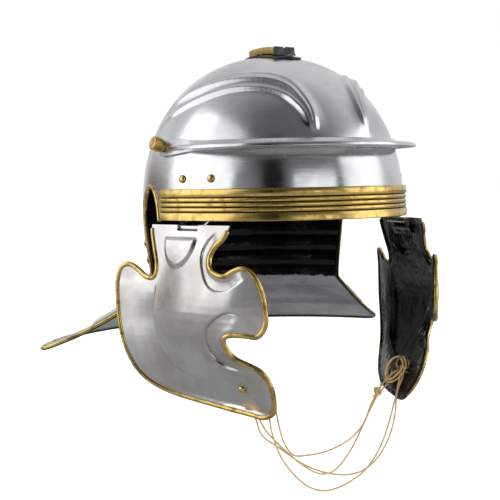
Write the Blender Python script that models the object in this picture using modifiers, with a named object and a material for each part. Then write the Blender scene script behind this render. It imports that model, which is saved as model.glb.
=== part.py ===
"""Roman legionary helmet of sheet steel with brass fittings, in metres, +Z up, the face towards -Y.

The origin is the middle of the head opening, in the plane of the brow rim. The wearer's right is -X.
"""
import math

import bmesh
import bpy
import numpy as np
from mathutils import Matrix, Vector
from mathutils.geometry import delaunay_2d_cdt

# Sheets and clearances
SHEET = 0.0012
GAP = 0.0003
EDGE_GAP = 0.0006
STEP = 0.001
MERGE = 0.00002

# Size of the facets, how near their points come to folds, holes and edges, and the slack of swept paths
FACET = 0.0150
BROW_CLEAR = 0.0063
HOLE_CLEAR = 0.0060
RIM_CLEAR = 0.00525
SEAM_CLEAR = 0.0050
ROUTE_SLACK = 0.00022

# Skull, measured to the middle of its sheet
SKULL_HALF_WIDTH = 0.1006
SKULL_HALF_LENGTH = 0.1156
SKULL_HEIGHT = 0.1270
WALL_HEIGHT = 0.0040
RISE_POWER = 2.25
SPREAD_POWER = 2.15
SKULL_RUN = 0.165

# Nape below the rim, and the neck guard that flares from it
NAPE_DROP = 0.057
NAPE_TAPER = 0.946
NAPE_RIBS = (0.40, 0.62, 0.84)
NAPE_RIB_HEIGHT = 0.0018
NAPE_RIB_HALF = 0.0050
BRIM_REACH = 0.190
BRIM_DROP = 0.048
BRIM_DISH = 0.10
BRIM_CORNER = 0.016
BRIM_TIP_TURN = math.radians(116.5)
BRIM_STEP_HEIGHT = 0.0025
BRIM_STEP = (0.14, 0.50)
BRIM_STEP_SLOPE = 0.06

# Ear cut-out, an arch in the side view
EAR_FRONT = -0.001
EAR_BACK = 0.037
EAR_TOP = 0.026

# Brass trim on the edges
TRIM_RADIUS = 0.0016
GUARD_TRIM_RADIUS = 0.0018

# Embossed eyebrows: each row is a place on the upper and the lower ridge, in degrees round and up
BROW_ROWS = (
    # turn, lift, turn, lift
    (14.0, 28.0, 16.5, 29.0),
    (14.2, 35.0, 18.5, 34.0),
    (16.5, 42.0, 22.0, 38.5),
    (21.0, 49.5, 27.0, 42.5),
    (31.0, 54.5, 35.0, 45.5),
    (46.0, 56.0, 47.0, 46.8),
    (64.0, 55.2, 61.0, 45.8),
    (81.0, 52.0, 78.0, 41.5),
    (97.0, 45.5, 93.0, 36.0),
    (112.0, 37.0, 108.0, 29.5),
    (119.0, 32.0, 117.0, 27.0),
)
BROW_RIDGES = 3
BROW_RIDGE_HEIGHT = 0.0021
BROW_RIDGE_HALF = 0.0034
BROW_SWELL_HEIGHT = 0.0026
BROW_SWELL_HALF = 0.014
BROW_SWELL_START = 25.0
BROW_SWELL_FADE = 12.0

# Ribbed brass band round the brow
BAND_HEIGHT = 0.0235
BAND_SHEET = 0.0008
BAND_END = 0.008
BAND_LEDGE_HEIGHT = 0.0063
BAND_LEDGE_RISE = 0.0016
BAND_RIBS = 3
BAND_RIB_RISE = 0.0014

# Peak: an angle bar across the brow that ends in a flat arm under a stud at each side
PEAK_LEVEL = 0.0555
PEAK_REACH = 0.0170
PEAK_LEG = 0.0016
PEAK_LIP = 0.0026
PEAK_ROOT_HALF = 0.0036
PEAK_ARM_HALF = 0.0068
PEAK_ARM_BEAD = 0.0006
PEAK_SHELF = 0.0014
PEAK_STUD_BACK = 0.003
STUD_RADIUS = 0.0054
STUD_LENGTH = 0.0095
STUD_CHAMFER = 0.0010

# Crest holder on the crown
CREST_PLATE_HALF_WIDTH = 0.0155
CREST_PLATE_HALF_LENGTH = 0.0325
CREST_MIDDLE = -0.0050
CREST_WIDTH = 0.0190
CREST_LENGTH = 0.0380
CREST_TALL = 0.0058
CREST_WALL = 0.0012
CREST_SLOT = 0.0030
CREST_RIVET_INSET = 0.0045
CREST_RIVET_HEAD = 0.0024
CREST_RIVET_SHANK = 0.0012

# Rivets
RIVET_HEAD = 0.0031
RIVET_DOME = 0.0020
RIVET_SHANK = 0.0015
RIVET_TAIL = 0.0024
RIVET_TAIL_TALL = 0.0008
RIVET_SIDES = 8

# Cheek guards hang from a hinge under the band; the sheet of each is a table of cross-sections
GUARD_HINGE_Y = -0.0455
GUARD_OUT = 0.0979
GUARD_TOP = 0.0028
GUARD_DROP = 0.138
GUARD_LENGTH = 0.139
GUARD_MIDDLE_Y = -0.0450
GUARD_ROWS = (
    # down the sheet and out at its middle as shares of the drop; turn, bow and curl as shares of the length
    (0.00, 0.000, 0.235, -0.021, 0.046),
    (0.25, 0.061, 0.105, -0.035, 0.133),
    (0.50, 0.094, 0.119, -0.063, 0.127),
    (0.75, 0.017, 0.302, -0.015, 0.064),
    (1.00, -0.144, 0.464, 0.092, 0.013),
)
GUARD_EDGE = (
    # ahead of the middle as a share of the length, down as a share of the drop
    (-0.286, 0.047), (-0.276, 0.085), (-0.246, 0.164), (-0.220, 0.228), (-0.216, 0.279), (-0.243, 0.312),
    (-0.305, 0.305), (-0.370, 0.266), (-0.424, 0.242), (-0.466, 0.259), (-0.481, 0.318), (-0.484, 0.410),
    (-0.474, 0.565), (-0.430, 0.732), (-0.364, 0.860), (-0.262, 0.938), (-0.096, 0.987), (0.074, 1.014),
    (0.220, 1.026), (0.310, 1.032), (0.378, 1.002), (0.428, 0.938), (0.456, 0.848), (0.440, 0.771),
    (0.390, 0.733), (0.335, 0.703), (0.311, 0.656), (0.310, 0.608), (0.345, 0.576), (0.418, 0.572),
    (0.466, 0.578), (0.494, 0.546), (0.508, 0.488), (0.500, 0.369), (0.467, 0.273), (0.420, 0.233),
    (0.377, 0.246), (0.330, 0.274), (0.274, 0.260), (0.238, 0.226), (0.227, 0.176), (0.244, 0.124),
    (0.278, 0.086), (0.290, 0.052),
)
GUARD_FACET = 0.0100
GUARD_CREASE_CLEAR = 0.0045
GUARD_RIM_CLEAR = 0.0040
GUARD_END_CLEAR = 0.0030
GUARD_RIM_FLAT = 0.0060
GUARD_BOSS = (-0.030, 0.108)
GUARD_BOSS_HALF = 0.0190
GUARD_BOSS_TALL = 0.0200
GUARD_BOSS_HEIGHT = 0.0026
GUARD_BOSS_SLOPE = 0.0050
GUARD_CREASE_DEPTH = 0.0028
GUARD_CREASE_HALF = 0.0080
GUARD_CREASES = (
    ((-0.205, 0.335), (-0.215, 0.450), (-0.205, 0.600), (-0.165, 0.755), (-0.070, 0.825), (0.090, 0.872),
     (0.370, 0.918)),
    ((0.240, 0.045), (0.205, 0.100), (0.166, 0.185), (0.240, 0.316), (0.330, 0.347), (0.430, 0.280)),
    ((0.468, 0.512), (0.370, 0.460), (0.245, 0.540), (0.192, 0.655), (0.240, 0.745), (0.385, 0.772)),
)

# Hinges, built round a pin that lies just inside the top edge of the cheek guard
HINGE_PIN_RADIUS = 0.0011
HINGE_PIN_EASE = 0.0007
HINGE_KNUCKLE_LENGTH = 0.0226
HINGE_SLOT_TALL = 0.0045
HINGE_PLATE_WIDTH = 0.0340
HINGE_PLATE_TALL = 0.0400
HINGE_PLATE_SHEET = 0.0010
HINGE_PLATE_EASE = 0.0010
HINGE_SIDE_LENGTH = 0.0050
HINGE_FLAP_TALL = 0.0120
HINGE_FLAP_EASE = 0.0012
HINGE_RIVET_SPREAD = 0.0130
HINGE_RIVET_LEVEL = 0.0310
HINGE_KNUCKLE_TURN = 1.55 * math.pi
HINGE_DRILL_DEPTH = 0.020

# Eye rivet for the chin cord, near the tip of each cheek guard
EYE_PLACE = (0.273, 0.875)
EYE_RING = 0.0052
EYE_WIRE = 0.0009
EYE_STAND = 0.0062

# Chin cord: two lengths of one cord, doubled between the eyes and tied in a knot
CORD_RADIUS = 0.0006
CORD_SLACK = 0.0006
KNOT = (0.0440, -0.0830, -0.1360)
KNOT_RADIUS = 0.0027
CORD_FRONT_ROUTE = (
    (0.0419, -0.0840, -0.1384), (0.0365, -0.0845, -0.1450), (0.0290, -0.0845, -0.1590),
    (0.0180, -0.0845, -0.1685), (0.0070, -0.0845, -0.1730), (-0.0060, -0.0845, -0.1760),
    (-0.0220, -0.0845, -0.1765), (-0.0350, -0.0845, -0.1745), (-0.0430, -0.0845, -0.1640),
    (-0.0470, -0.0843, -0.1510), (-0.0500, -0.0838, -0.1370), (-0.0580, -0.0828, -0.1275),
    (-0.0677, -0.0822, -0.1217), (-0.0685, -0.0801, -0.1191), (-0.0693, -0.0780, -0.1217),
    (-0.0665, -0.0762, -0.1310), (-0.0610, -0.0775, -0.1430), (-0.0540, -0.0790, -0.1560),
    (-0.0400, -0.0805, -0.1710), (-0.0240, -0.0805, -0.1850), (-0.0090, -0.0805, -0.1935),
    (0.0050, -0.0805, -0.1925), (0.0190, -0.0805, -0.1800), (0.0300, -0.0805, -0.1640),
    (0.0390, -0.0808, -0.1490), (0.0446, -0.0819, -0.1391),
)
CORD_REAR_ROUTE = (
    (0.0465, -0.0819, -0.1345), (0.0560, -0.0778, -0.1290), (0.0640, -0.0756, -0.1255),
    (0.0693, -0.0780, -0.1217), (0.0685, -0.0801, -0.1191), (0.0677, -0.0822, -0.1217),
    (0.0648, -0.0835, -0.1290), (0.0610, -0.0850, -0.1390), (0.0610, -0.0825, -0.1560),
    (0.0580, -0.0790, -0.1740), (0.0480, -0.0770, -0.1900), (0.0330, -0.0765, -0.1985),
    (0.0150, -0.0765, -0.1990), (-0.0060, -0.0765, -0.1930), (-0.0240, -0.0765, -0.1835),
    (-0.0420, -0.0763, -0.1700), (-0.0560, -0.0752, -0.1590), (-0.0600, -0.0725, -0.1460),
    (-0.0660, -0.0722, -0.1340), (-0.0714, -0.0787, -0.1217), (-0.0706, -0.0808, -0.1191),
    (-0.0698, -0.0829, -0.1217), (-0.0620, -0.0842, -0.1310), (-0.0560, -0.0845, -0.1410),
    (-0.0530, -0.0845, -0.1560), (-0.0460, -0.0845, -0.1740), (-0.0350, -0.0845, -0.1890),
    (-0.0210, -0.0845, -0.2010), (-0.0060, -0.0845, -0.2060), (0.0110, -0.0845, -0.2040),
    (0.0290, -0.0850, -0.1960), (0.0430, -0.0855, -0.1810), (0.0520, -0.0865, -0.1610),
    (0.0570, -0.0880, -0.1430), (0.0605, -0.0878, -0.1345), (0.0665, -0.0850, -0.1280),
    (0.0698, -0.0829, -0.1217), (0.0706, -0.0808, -0.1191), (0.0714, -0.0787, -0.1217),
    (0.0660, -0.0740, -0.1290), (0.0560, -0.0765, -0.1345), (0.0468, -0.0815, -0.1377),
)

STEEL = ("polished_steel", (0.62, 0.63, 0.65), 0.18, 1.0)
BRASS = ("brass", (0.66, 0.50, 0.22), 0.28, 1.0)
BLACK_STEEL = ("blackened_steel", (0.03, 0.03, 0.035), 0.35, 0.4)
CORD = ("cord", (0.62, 0.45, 0.24), 0.8, 0.0)


def clear_scene():
    for item in list(bpy.data.objects):
        bpy.data.objects.remove(item, do_unlink=True)


def make_collection(name):
    collection = bpy.data.collections.new(name)
    bpy.context.scene.collection.children.link(collection)
    return collection


def material(look):
    name, colour, roughness, metallic = look
    found = bpy.data.materials.get(name)
    if found:
        return found
    made = bpy.data.materials.new(name)
    made.use_nodes = True
    shader = made.node_tree.nodes["Principled BSDF"]
    shader.inputs["Base Color"].default_value = (*colour, 1.0)
    shader.inputs["Roughness"].default_value = roughness
    shader.inputs["Metallic"].default_value = metallic
    return made


def add_object(name, data, collection, look=None):
    item = bpy.data.objects.new(name, data)
    collection.objects.link(item)
    if look:
        data.materials.append(material(look))
    return item


def mesh_from(name, points, faces):
    mesh = bpy.data.meshes.new(name)
    mesh.from_pydata([tuple(point) for point in points], [], faces)
    work = bmesh.new()
    work.from_mesh(mesh)
    bmesh.ops.remove_doubles(work, verts=work.verts, dist=MERGE)
    bmesh.ops.dissolve_degenerate(work, dist=MERGE / 2, edges=work.edges)
    work.to_mesh(mesh)
    work.free()
    return mesh


def outward(mesh):
    """The same closed mesh with every face turned outward."""
    work = bmesh.new()
    work.from_mesh(mesh)
    bmesh.ops.recalc_face_normals(work, faces=work.faces)
    work.to_mesh(mesh)
    work.free()
    return mesh


def thicken(item, thickness):
    shell = item.modifiers.new("Thickness", "SOLIDIFY")
    shell.thickness = thickness
    shell.offset = 0.0
    shell.use_even_offset = True


def hide_as_cutter(item):
    item.hide_render = True
    item.display_type = "WIRE"


def ease(share):
    share = np.clip(share, 0.0, 1.0)
    return share * share * (3.0 - 2.0 * share)


def ridge(distance, half):
    """A rounded ridge of height 1, that ends at the half width."""
    return np.where(np.abs(distance) < half, 0.5 + 0.5 * np.cos(math.pi * distance / half), 0.0)


def smooth_curve(points, per_span):
    """Points of a smooth curve that passes through every given point."""
    points = np.asarray(points, float)
    padded = np.vstack([2 * points[:1] - points[1:2], points, 2 * points[-1:] - points[-2:-1]])
    rows = []
    for span in range(len(points) - 1):
        a, b, c, d = padded[span:span + 4]
        for step in range(per_span):
            t = step / per_span
            rows.append(0.5 * (2 * b + (c - a) * t + (2 * a - 5 * b + 4 * c - d) * t * t
                               + (3 * b - a - 3 * c + d) * t ** 3))
    rows.append(points[-1])
    return np.array(rows)


def thin_out(path, slack):
    """The path without the points that its straight spans pass within the slack."""
    path = np.asarray(path, float)
    kept = [0]
    last = 2
    while last < len(path):
        middle = path[kept[-1] + 1:last]
        if distance_to_line(middle, path[[kept[-1], last]]).max() > slack:
            kept.append(last - 1)
        last += 1
    return path[[*kept, len(path) - 1]]


def distance_to_line(points, line):
    """Distance of each point to a polyline."""
    points = np.asarray(points, float)
    nearest = np.full(len(points), np.inf)
    for start, end in zip(line[:-1], line[1:]):
        span = end - start
        share = np.clip(((points - start) @ span) / max(span @ span, 1e-12), 0.0, 1.0)
        gaps = np.linalg.norm(points - start - share[:, None] * span, axis=1)
        nearest = np.minimum(nearest, gaps)
    return nearest


def inside(points, outline):
    """Which 2D points lie inside a closed outline."""
    points = np.asarray(points, float)
    outline = np.asarray(outline, float)
    x, y = points[:, 0], points[:, 1]
    result = np.zeros(len(points), bool)
    for (x1, y1), (x2, y2) in zip(outline, np.roll(outline, -1, axis=0)):
        crosses = (y1 > y) != (y2 > y)
        with np.errstate(divide="ignore", invalid="ignore"):
            at = (x2 - x1) * (y - y1) / (y2 - y1) + x1
        result ^= crosses & (x < at)
    return result


def flat_directions(surface, place):
    """How far a 3D point of a surface moves for a small step in each flat direction."""
    small = 1e-5
    across = (surface(place + [small, 0.0]) - surface(place - [small, 0.0])) / (2 * small)
    along = (surface(place + [0.0, small]) - surface(place - [0.0, small])) / (2 * small)
    return across, along


def surface_normals(surface, places):
    across, along = flat_directions(surface, places)
    normal = np.cross(across, along)
    length = np.linalg.norm(normal, axis=-1, keepdims=True)
    return normal / np.maximum(length, 1e-12)


def move_on_surface(surface, places, shift):
    """Flat places moved so that their 3D points shift by the given 3D vectors along the surface."""
    across, along = flat_directions(surface, places)
    aa = np.sum(across * across, axis=1)
    bb = np.sum(along * along, axis=1)
    ab = np.sum(across * along, axis=1)
    pa = np.sum(across * shift, axis=1)
    pb = np.sum(along * shift, axis=1)
    det = aa * bb - ab * ab
    return places + np.stack([(pa * bb - pb * ab) / det, (pb * aa - pa * ab) / det], axis=1)


def inset_on_surface(surface, path, distance):
    """The path moved sideways along the surface, to the left of its direction seen from outside."""
    points = surface(path)
    direction = np.gradient(points, axis=0)
    direction /= np.linalg.norm(direction, axis=1, keepdims=True)
    side = np.cross(surface_normals(surface, path), direction)
    return move_on_surface(surface, path, side * distance)


def hole_on_surface(surface, middle, radius, sides=10):
    """A round hole as an outline in the flat pattern."""
    middle = np.asarray(middle, float)[None]
    across, _ = flat_directions(surface, middle)
    first = across[0] / np.linalg.norm(across[0])
    second = np.cross(surface_normals(surface, middle)[0], first)
    rim = []
    for step in range(sides):
        turn = 2 * math.pi * step / sides
        shift = (math.cos(turn) * first + math.sin(turn) * second) * radius
        rim.append(move_on_surface(surface, middle, shift[None])[0])
    return np.array(rim)


def pattern_mesh(name, surface, outline, inner, holes=(), folds=()):
    """A sheet cut from a flat pattern, triangulated with edges along its fold lines, and then formed."""
    outline = np.asarray(outline, float)
    inner = np.asarray(inner, float)
    keep = inside(inner, outline)
    for hole in holes:
        keep &= ~inside(inner, hole)
    loops = [outline, *holes]
    flat = [Vector(point) for loop in loops for point in loop]
    edges = []
    start = 0
    for loop in loops:
        edges += [(start + step, start + (step + 1) % len(loop)) for step in range(len(loop))]
        start += len(loop)
    flat += [Vector(point) for point in inner[keep]]
    rim = np.vstack([outline, outline[:1]])
    for fold in folds:
        clear = inside(fold, outline) & (distance_to_line(fold, rim) > RIM_CLEAR)
        for number, point in enumerate(fold):
            if clear[number]:
                flat.append(Vector(point))
                if number and clear[number - 1]:
                    edges.append((len(flat) - 2, len(flat) - 1))
    cut = delaunay_2d_cdt(flat, edges, [], 0, 1e-7)
    places = np.array([tuple(point) for point in cut[0]])
    faces = np.array([face for face in cut[2] if len(face) == 3])
    middles = places[faces].mean(axis=1)
    wanted = inside(middles, outline)
    for hole in holes:
        wanted &= ~inside(middles, hole)
    return mesh_from(name, surface(places), faces[wanted].tolist())


def sweep(name, rings, collection, look):
    """A solid lofted through closed rings of equal count, capped at both ends."""
    rings = [np.asarray(ring, float) for ring in rings]
    count = len(rings[0])
    faces = []
    for row in range(len(rings) - 1):
        for step in range(count):
            a = row * count + step
            b = row * count + (step + 1) % count
            faces.append((a, b, b + count, a + count))
    faces.append(tuple(range(count - 1, -1, -1)))
    last = (len(rings) - 1) * count
    faces.append(tuple(range(last, last + count)))
    return add_object(name, outward(mesh_from(name, np.vstack(rings), faces)), collection, look)


def tube(name, path, radius, collection, look, resolution=1):
    curve = bpy.data.curves.new(name, "CURVE")
    curve.dimensions = "3D"
    curve.bevel_depth = radius
    curve.bevel_resolution = resolution
    curve.use_fill_caps = True
    curve.twist_mode = "MINIMUM"
    spline = curve.splines.new("POLY")
    spline.points.add(len(path) - 1)
    for point, place in zip(spline.points, path):
        point.co = (*place, 1.0)
    return add_object(name, curve, collection, look)


def turned(name, profile, frame, collection, look):
    """A round piece from its half profile, top to bottom, turned about its own Z."""
    mesh = bpy.data.meshes.new(name)
    points = [(radius, 0.0, height) for radius, height in profile]
    mesh.from_pydata(points, [(step, step + 1) for step in range(len(points) - 1)], [])
    item = add_object(name, mesh, collection, look)
    item.matrix_world = frame
    screw = item.modifiers.new("Turn", "SCREW")
    screw.steps = RIVET_SIDES
    screw.render_steps = RIVET_SIDES
    screw.use_merge_vertices = True
    screw.merge_threshold = MERGE / 2
    return item


def join_meshes(item, tool, operation):
    """A Boolean of item with tool, kept as a modifier; the tool is hidden."""
    cut = item.modifiers.new(tool.name, "BOOLEAN")
    cut.operation = operation
    cut.object = tool
    hide_as_cutter(tool)


def frame_at(origin, up, ahead=Vector((0.0, 0.0, 1.0))):
    """A matrix at a point whose Z runs along up."""
    z = Vector(up).normalized()
    x = Vector(ahead).cross(z)
    if x.length < 1e-4:
        x = Vector((1.0, 0.0, 0.0)).cross(z)
    x.normalize()
    y = z.cross(x)
    return Matrix.Translation(origin) @ Matrix((x, y, z)).transposed().to_4x4()


def skull_share(level):
    """How wide the skull is at a height, as a share of the rim."""
    rise = np.clip((np.asarray(level, float) - WALL_HEIGHT) / (SKULL_HEIGHT - WALL_HEIGHT), 0.0, 1.0)
    return (1.0 - rise ** RISE_POWER) ** (1.0 / SPREAD_POWER)


def nape_share(down):
    return 1.0 - (1.0 - NAPE_TAPER) * ease(down)


def helmet_base(turn, run):
    """The plain sheet: run is 0 at the crown, 1 at the wall, 2 at the end of the nape, 3 at the brim."""
    angle = (1.0 - np.clip(run, 0.0, 1.0)) * (math.pi / 2)
    wide = np.cos(angle) ** (2.0 / SPREAD_POWER)
    rise = np.sin(angle) ** (2.0 / RISE_POWER)
    down = np.clip(run - 1.0, 0.0, 1.0)
    out = np.clip(run - 2.0, 0.0, 1.2)
    wide = wide * nape_share(down)
    x = SKULL_HALF_WIDTH * wide * np.sin(turn)
    y = -SKULL_HALF_LENGTH * wide * np.cos(turn)
    z = WALL_HEIGHT + rise * (SKULL_HEIGHT - WALL_HEIGHT) - down * (WALL_HEIGHT + NAPE_DROP)
    x = x + (BRIM_REACH * np.sin(turn) - x) * out
    y = y + (-BRIM_REACH * np.cos(turn) - y) * out
    z = z - BRIM_DROP * (out + BRIM_DISH * np.sin(math.pi * np.clip(out, 0.0, 1.0)))
    return np.stack([x, y, z], axis=-1)


def runs_to_flat(run):
    """Run along the sheet as a length in the flat pattern."""
    widths = (SKULL_RUN, WALL_HEIGHT + NAPE_DROP, BRIM_REACH - SKULL_HALF_WIDTH)
    ends = np.concatenate([[0.0], np.cumsum(widths)])
    return np.interp(run, range(len(ends)), ends), ends


def to_flat(turn, run):
    length, _ = runs_to_flat(run)
    return np.stack([np.asarray(turn, float) * SKULL_HALF_LENGTH, length], axis=-1)


def from_flat(places):
    _, ends = runs_to_flat(0.0)
    places = np.asarray(places, float)
    run = np.interp(places[..., 1], ends, range(len(ends)))
    beyond = np.maximum(places[..., 1] - ends[-1], 0.0) / (ends[-1] - ends[-2])
    return places[..., 0] / SKULL_HALF_LENGTH, run + beyond


def skull_lift_to_run(lift):
    return 1.0 - np.asarray(lift, float) / 90.0


def brow_lines():
    """The three ridge lines of the right eyebrow in the flat pattern."""
    rows = smooth_curve(BROW_ROWS, 2)
    lines = []
    for number in range(BROW_RIDGES):
        share = number / (BROW_RIDGES - 1)
        turn = np.radians(rows[:, 0] * (1 - share) + rows[:, 2] * share)
        lift = rows[:, 1] * (1 - share) + rows[:, 3] * share
        lines.append(to_flat(-turn, skull_lift_to_run(lift)))
    return lines


def helmet_relief(places):
    """Height of the embossing above the plain sheet at each flat place."""
    places = np.asarray(places, float)
    _, run = from_flat(places)
    right = np.stack([-np.abs(places[:, 0]), places[:, 1]], axis=1)
    width = skull_share(WALL_HEIGHT + (SKULL_HEIGHT - WALL_HEIGHT)
                        * np.sin((1 - np.clip(run, 0, 1)) * math.pi / 2) ** (2 / RISE_POWER))
    squeeze = np.stack([np.maximum(width, 0.2), np.ones(len(places))], axis=1)
    near = [distance_scaled(right, line, squeeze) for line in brow_lines()]
    height = BROW_RIDGE_HEIGHT * np.max([ridge(gap, BROW_RIDGE_HALF) for gap in near], axis=0)
    swell = BROW_SWELL_HEIGHT * ridge(near[BROW_RIDGES // 2], BROW_SWELL_HALF)
    height = height + swell * ease(((1.0 - run) * 90.0 - BROW_SWELL_START) / BROW_SWELL_FADE)
    down = np.clip(run - 1.0, 0.0, 1.0)
    length = WALL_HEIGHT + NAPE_DROP
    for rib in NAPE_RIBS:
        height = height + NAPE_RIB_HEIGHT * ridge((down - rib) * length, NAPE_RIB_HALF)
    out = run - 2.0
    start, end = BRIM_STEP
    step = ease((out - start) / BRIM_STEP_SLOPE) * (1 - ease((out - end) / BRIM_STEP_SLOPE))
    return height + BRIM_STEP_HEIGHT * step


def distance_scaled(points, line, scale):
    """Distance to a line where the flat pattern is drawn wider than the sheet."""
    nearest = np.full(len(points), np.inf)
    for start, end in zip(line[:-1], line[1:]):
        ahead = (points - start) * scale
        span = (end - start) * scale
        size = np.maximum(np.sum(span * span, axis=1), 1e-12)
        share = np.clip(np.sum(ahead * span, axis=1) / size, 0.0, 1.0)
        gaps = np.linalg.norm(ahead - share[:, None] * span, axis=1)
        nearest = np.minimum(nearest, gaps)
    return nearest


def helmet_plain(places):
    turn, run = from_flat(places)
    return helmet_base(turn, run)


def helmet_surface(places):
    """The middle of the sheet with its embossing."""
    places = np.asarray(places, float)
    points = helmet_plain(places)
    normals = -surface_normals(helmet_plain, places)
    return points + normals * helmet_relief(places)[:, None]


def rim_run():
    return 1.0 + WALL_HEIGHT / (WALL_HEIGHT + NAPE_DROP)


def level_to_run(level):
    level = np.asarray(level, float)
    rise = np.clip((level - WALL_HEIGHT) / (SKULL_HEIGHT - WALL_HEIGHT), 0.0, 1.0)
    angle = np.arcsin(rise ** (RISE_POWER / 2.0))
    down = np.clip((WALL_HEIGHT - level) / (WALL_HEIGHT + NAPE_DROP), 0.0, 1.0)
    return np.where(level >= WALL_HEIGHT, 1.0 - angle / (math.pi / 2), 1.0 + down)


def side_to_flat(y, level):
    """Flat place on the left half of the sheet, from its place in the side view."""
    run = level_to_run(level)
    wide = skull_share(level) * nape_share(np.clip(run - 1.0, 0.0, 1.0))
    turn = np.arccos(np.clip(-np.asarray(y, float) / (SKULL_HALF_LENGTH * wide), -1.0, 1.0))
    return to_flat(turn, run)


def edge_line():
    """Middle of the brass edge trim on the left half, from the ear round to the rear centre."""
    middle = (EAR_FRONT + EAR_BACK) / 2
    half = (EAR_BACK - EAR_FRONT) / 2
    angles = np.linspace(math.pi, 0.0, 15)
    arch = side_to_flat(middle + half * np.cos(angles), EAR_TOP * np.sin(angles))
    nape = side_to_flat(np.full(6, EAR_BACK), np.linspace(0.0, -NAPE_DROP, 7)[1:])
    corner = to_flat(BRIM_TIP_TURN, 3.0)
    fold = nape[-1]
    widen = BRIM_REACH / SKULL_HALF_LENGTH
    ahead = corner - fold
    before = corner - ahead * (BRIM_CORNER / np.linalg.norm(ahead))
    after = corner + np.array([BRIM_CORNER / widen, 0.0])
    front = np.linspace(fold, before, 8)[1:]
    shares = np.linspace(0.0, 1.0, 6)[1:, None]
    bend = (1 - shares) ** 2 * before + 2 * shares * (1 - shares) * corner + shares ** 2 * after
    last = to_flat(math.pi, 3.0)
    rear = np.linspace(bend[-1], last, 14)[1:]
    return np.vstack([arch, nape, front, bend, rear])


def helmet_outline():
    """Flat pattern of the whole sheet, cut open at the rear centre."""
    edge = inset_on_surface(helmet_plain, edge_line(), -(TRIM_RADIUS + EDGE_GAP))
    edge[-1, 0] = math.pi * SKULL_HALF_LENGTH
    rim = float(to_flat(0.0, rim_run())[1])
    edge[0, 1] = rim
    turns = np.linspace(0.0, edge[0, 0], 14)[:-1]
    half = np.vstack([np.stack([turns, np.full(len(turns), rim)], axis=1), edge])
    skull, below = pattern_rows()
    seam = [row for row in [*skull, *below] if row < edge[-1, 1] - SEAM_CLEAR]
    left = np.vstack([half, [(edge[-1, 0], row) for row in sorted(seam, reverse=True)], [(edge[-1, 0], 0.0)]])
    right = left[1:][::-1] * [-1.0, 1.0]
    return np.vstack([left, right])


def seat_row():
    """Length down the flat pattern of the row just above the peak."""
    return float(level_to_run(PEAK_LEVEL + PEAK_ARM_HALF + STEP)) * SKULL_RUN


def pattern_rows():
    """Lengths down the flat pattern at which points are laid out in rows, over the skull and below it."""
    _, ends = runs_to_flat(0.0)
    seat = seat_row()
    above = np.linspace(0.0, seat, round(seat / FACET) + 1)[1:]
    below = np.linspace(seat, ends[1], round((ends[1] - seat) / FACET) + 1)[1:-1]
    skull = [*above, *below]
    length = ends[2] - ends[1]
    ribs = [ends[1]]
    for rib in NAPE_RIBS:
        ribs += [ends[1] + rib * length - NAPE_RIB_HALF, ends[1] + rib * length]
    ribs.append(ends[1] + NAPE_RIBS[-1] * length + NAPE_RIB_HALF)
    wide = ends[3] - ends[2]
    start, end = BRIM_STEP
    shares = (start, start + BRIM_STEP_SLOPE, (start + end) / 2, end, end + BRIM_STEP_SLOPE, 0.75)
    brim = [ends[2]] + [ends[2] + share * wide for share in shares]
    return skull, [*ribs, *brim]


def pattern_row(length, shift=0.0):
    """Evenly spaced points right round the sheet at one length down the pattern."""
    radius = np.linalg.norm(helmet_plain(np.array([[0.5 * math.pi * SKULL_HALF_LENGTH, length]]))[0, :2])
    count = max(8, 2 * round(math.pi * radius / FACET))
    turns = (np.arange(count) + shift) / count * 2 - 1
    turns = turns[np.abs(turns) < 1.0 - 0.25 / count]
    return np.stack([turns * math.pi * SKULL_HALF_LENGTH, np.full(len(turns), length)], axis=1)


def helmet_folds():
    """Lines that the triangles follow: eyebrow ridges and valleys, nape ribs and the neck guard's step."""
    ridges = brow_lines()
    valleys = [(upper + lower) / 2 for upper, lower in zip(ridges[:-1], ridges[1:])]
    right = [*ridges, *valleys]
    left = [line * [-1.0, 1.0] for line in right]
    return right + left, [pattern_row(length) for length in pattern_rows()[1]]


def helmet_inner_points():
    """Even points over the skull, kept off its eyebrow lines."""
    rows = np.vstack([pattern_row(length, number % 2 / 2) for number, length in enumerate(pattern_rows()[0])])
    seat = np.isclose(rows[:, 1], seat_row())
    clear = np.ones(len(rows), bool)
    for line in helmet_folds()[0]:
        clear &= (distance_to_line(rows, line) > BROW_CLEAR) | seat
    outline = helmet_outline()
    clear &= distance_to_line(rows, np.vstack([outline, outline[:1]])) > RIM_CLEAR
    return rows[clear]


def skull_frame(side, y, level, outside=SHEET / 2):
    """Point on the skull at a place in the side view, and the direction out of it."""
    place = side_to_flat(y, level)[None]
    if side < 0:
        place = place * [-1.0, 1.0]
    point = helmet_surface(place)[0]
    normal = -surface_normals(helmet_plain, place)[0]
    return Vector(point + normal * outside), Vector(normal), place[0]


def crown_height(x, y):
    """Middle of the sheet near the crown, as a height over the plan."""
    wide = (np.abs(x) / SKULL_HALF_WIDTH) ** 2 + (np.abs(y) / SKULL_HALF_LENGTH) ** 2
    rise = (1.0 - np.sqrt(wide) ** SPREAD_POWER) ** (1.0 / RISE_POWER)
    return WALL_HEIGHT + rise * (SKULL_HEIGHT - WALL_HEIGHT)


def crest_rivet_places():
    """Front, rear, right and left of the foot plate."""
    length = CREST_PLATE_HALF_LENGTH - CREST_RIVET_INSET
    out = CREST_WIDTH / 2 + GAP + CREST_RIVET_HEAD
    shifts = ((0.0, -length), (0.0, length), (-out, 0.0), (out, 0.0))
    return tuple((x, CREST_MIDDLE + y) for x, y in shifts)


def crown_normals(places):
    def sheet(spots):
        return np.stack([spots[..., 0], spots[..., 1], crown_height(spots[..., 0], spots[..., 1])], axis=-1)

    return sheet(places), surface_normals(sheet, places)


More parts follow.
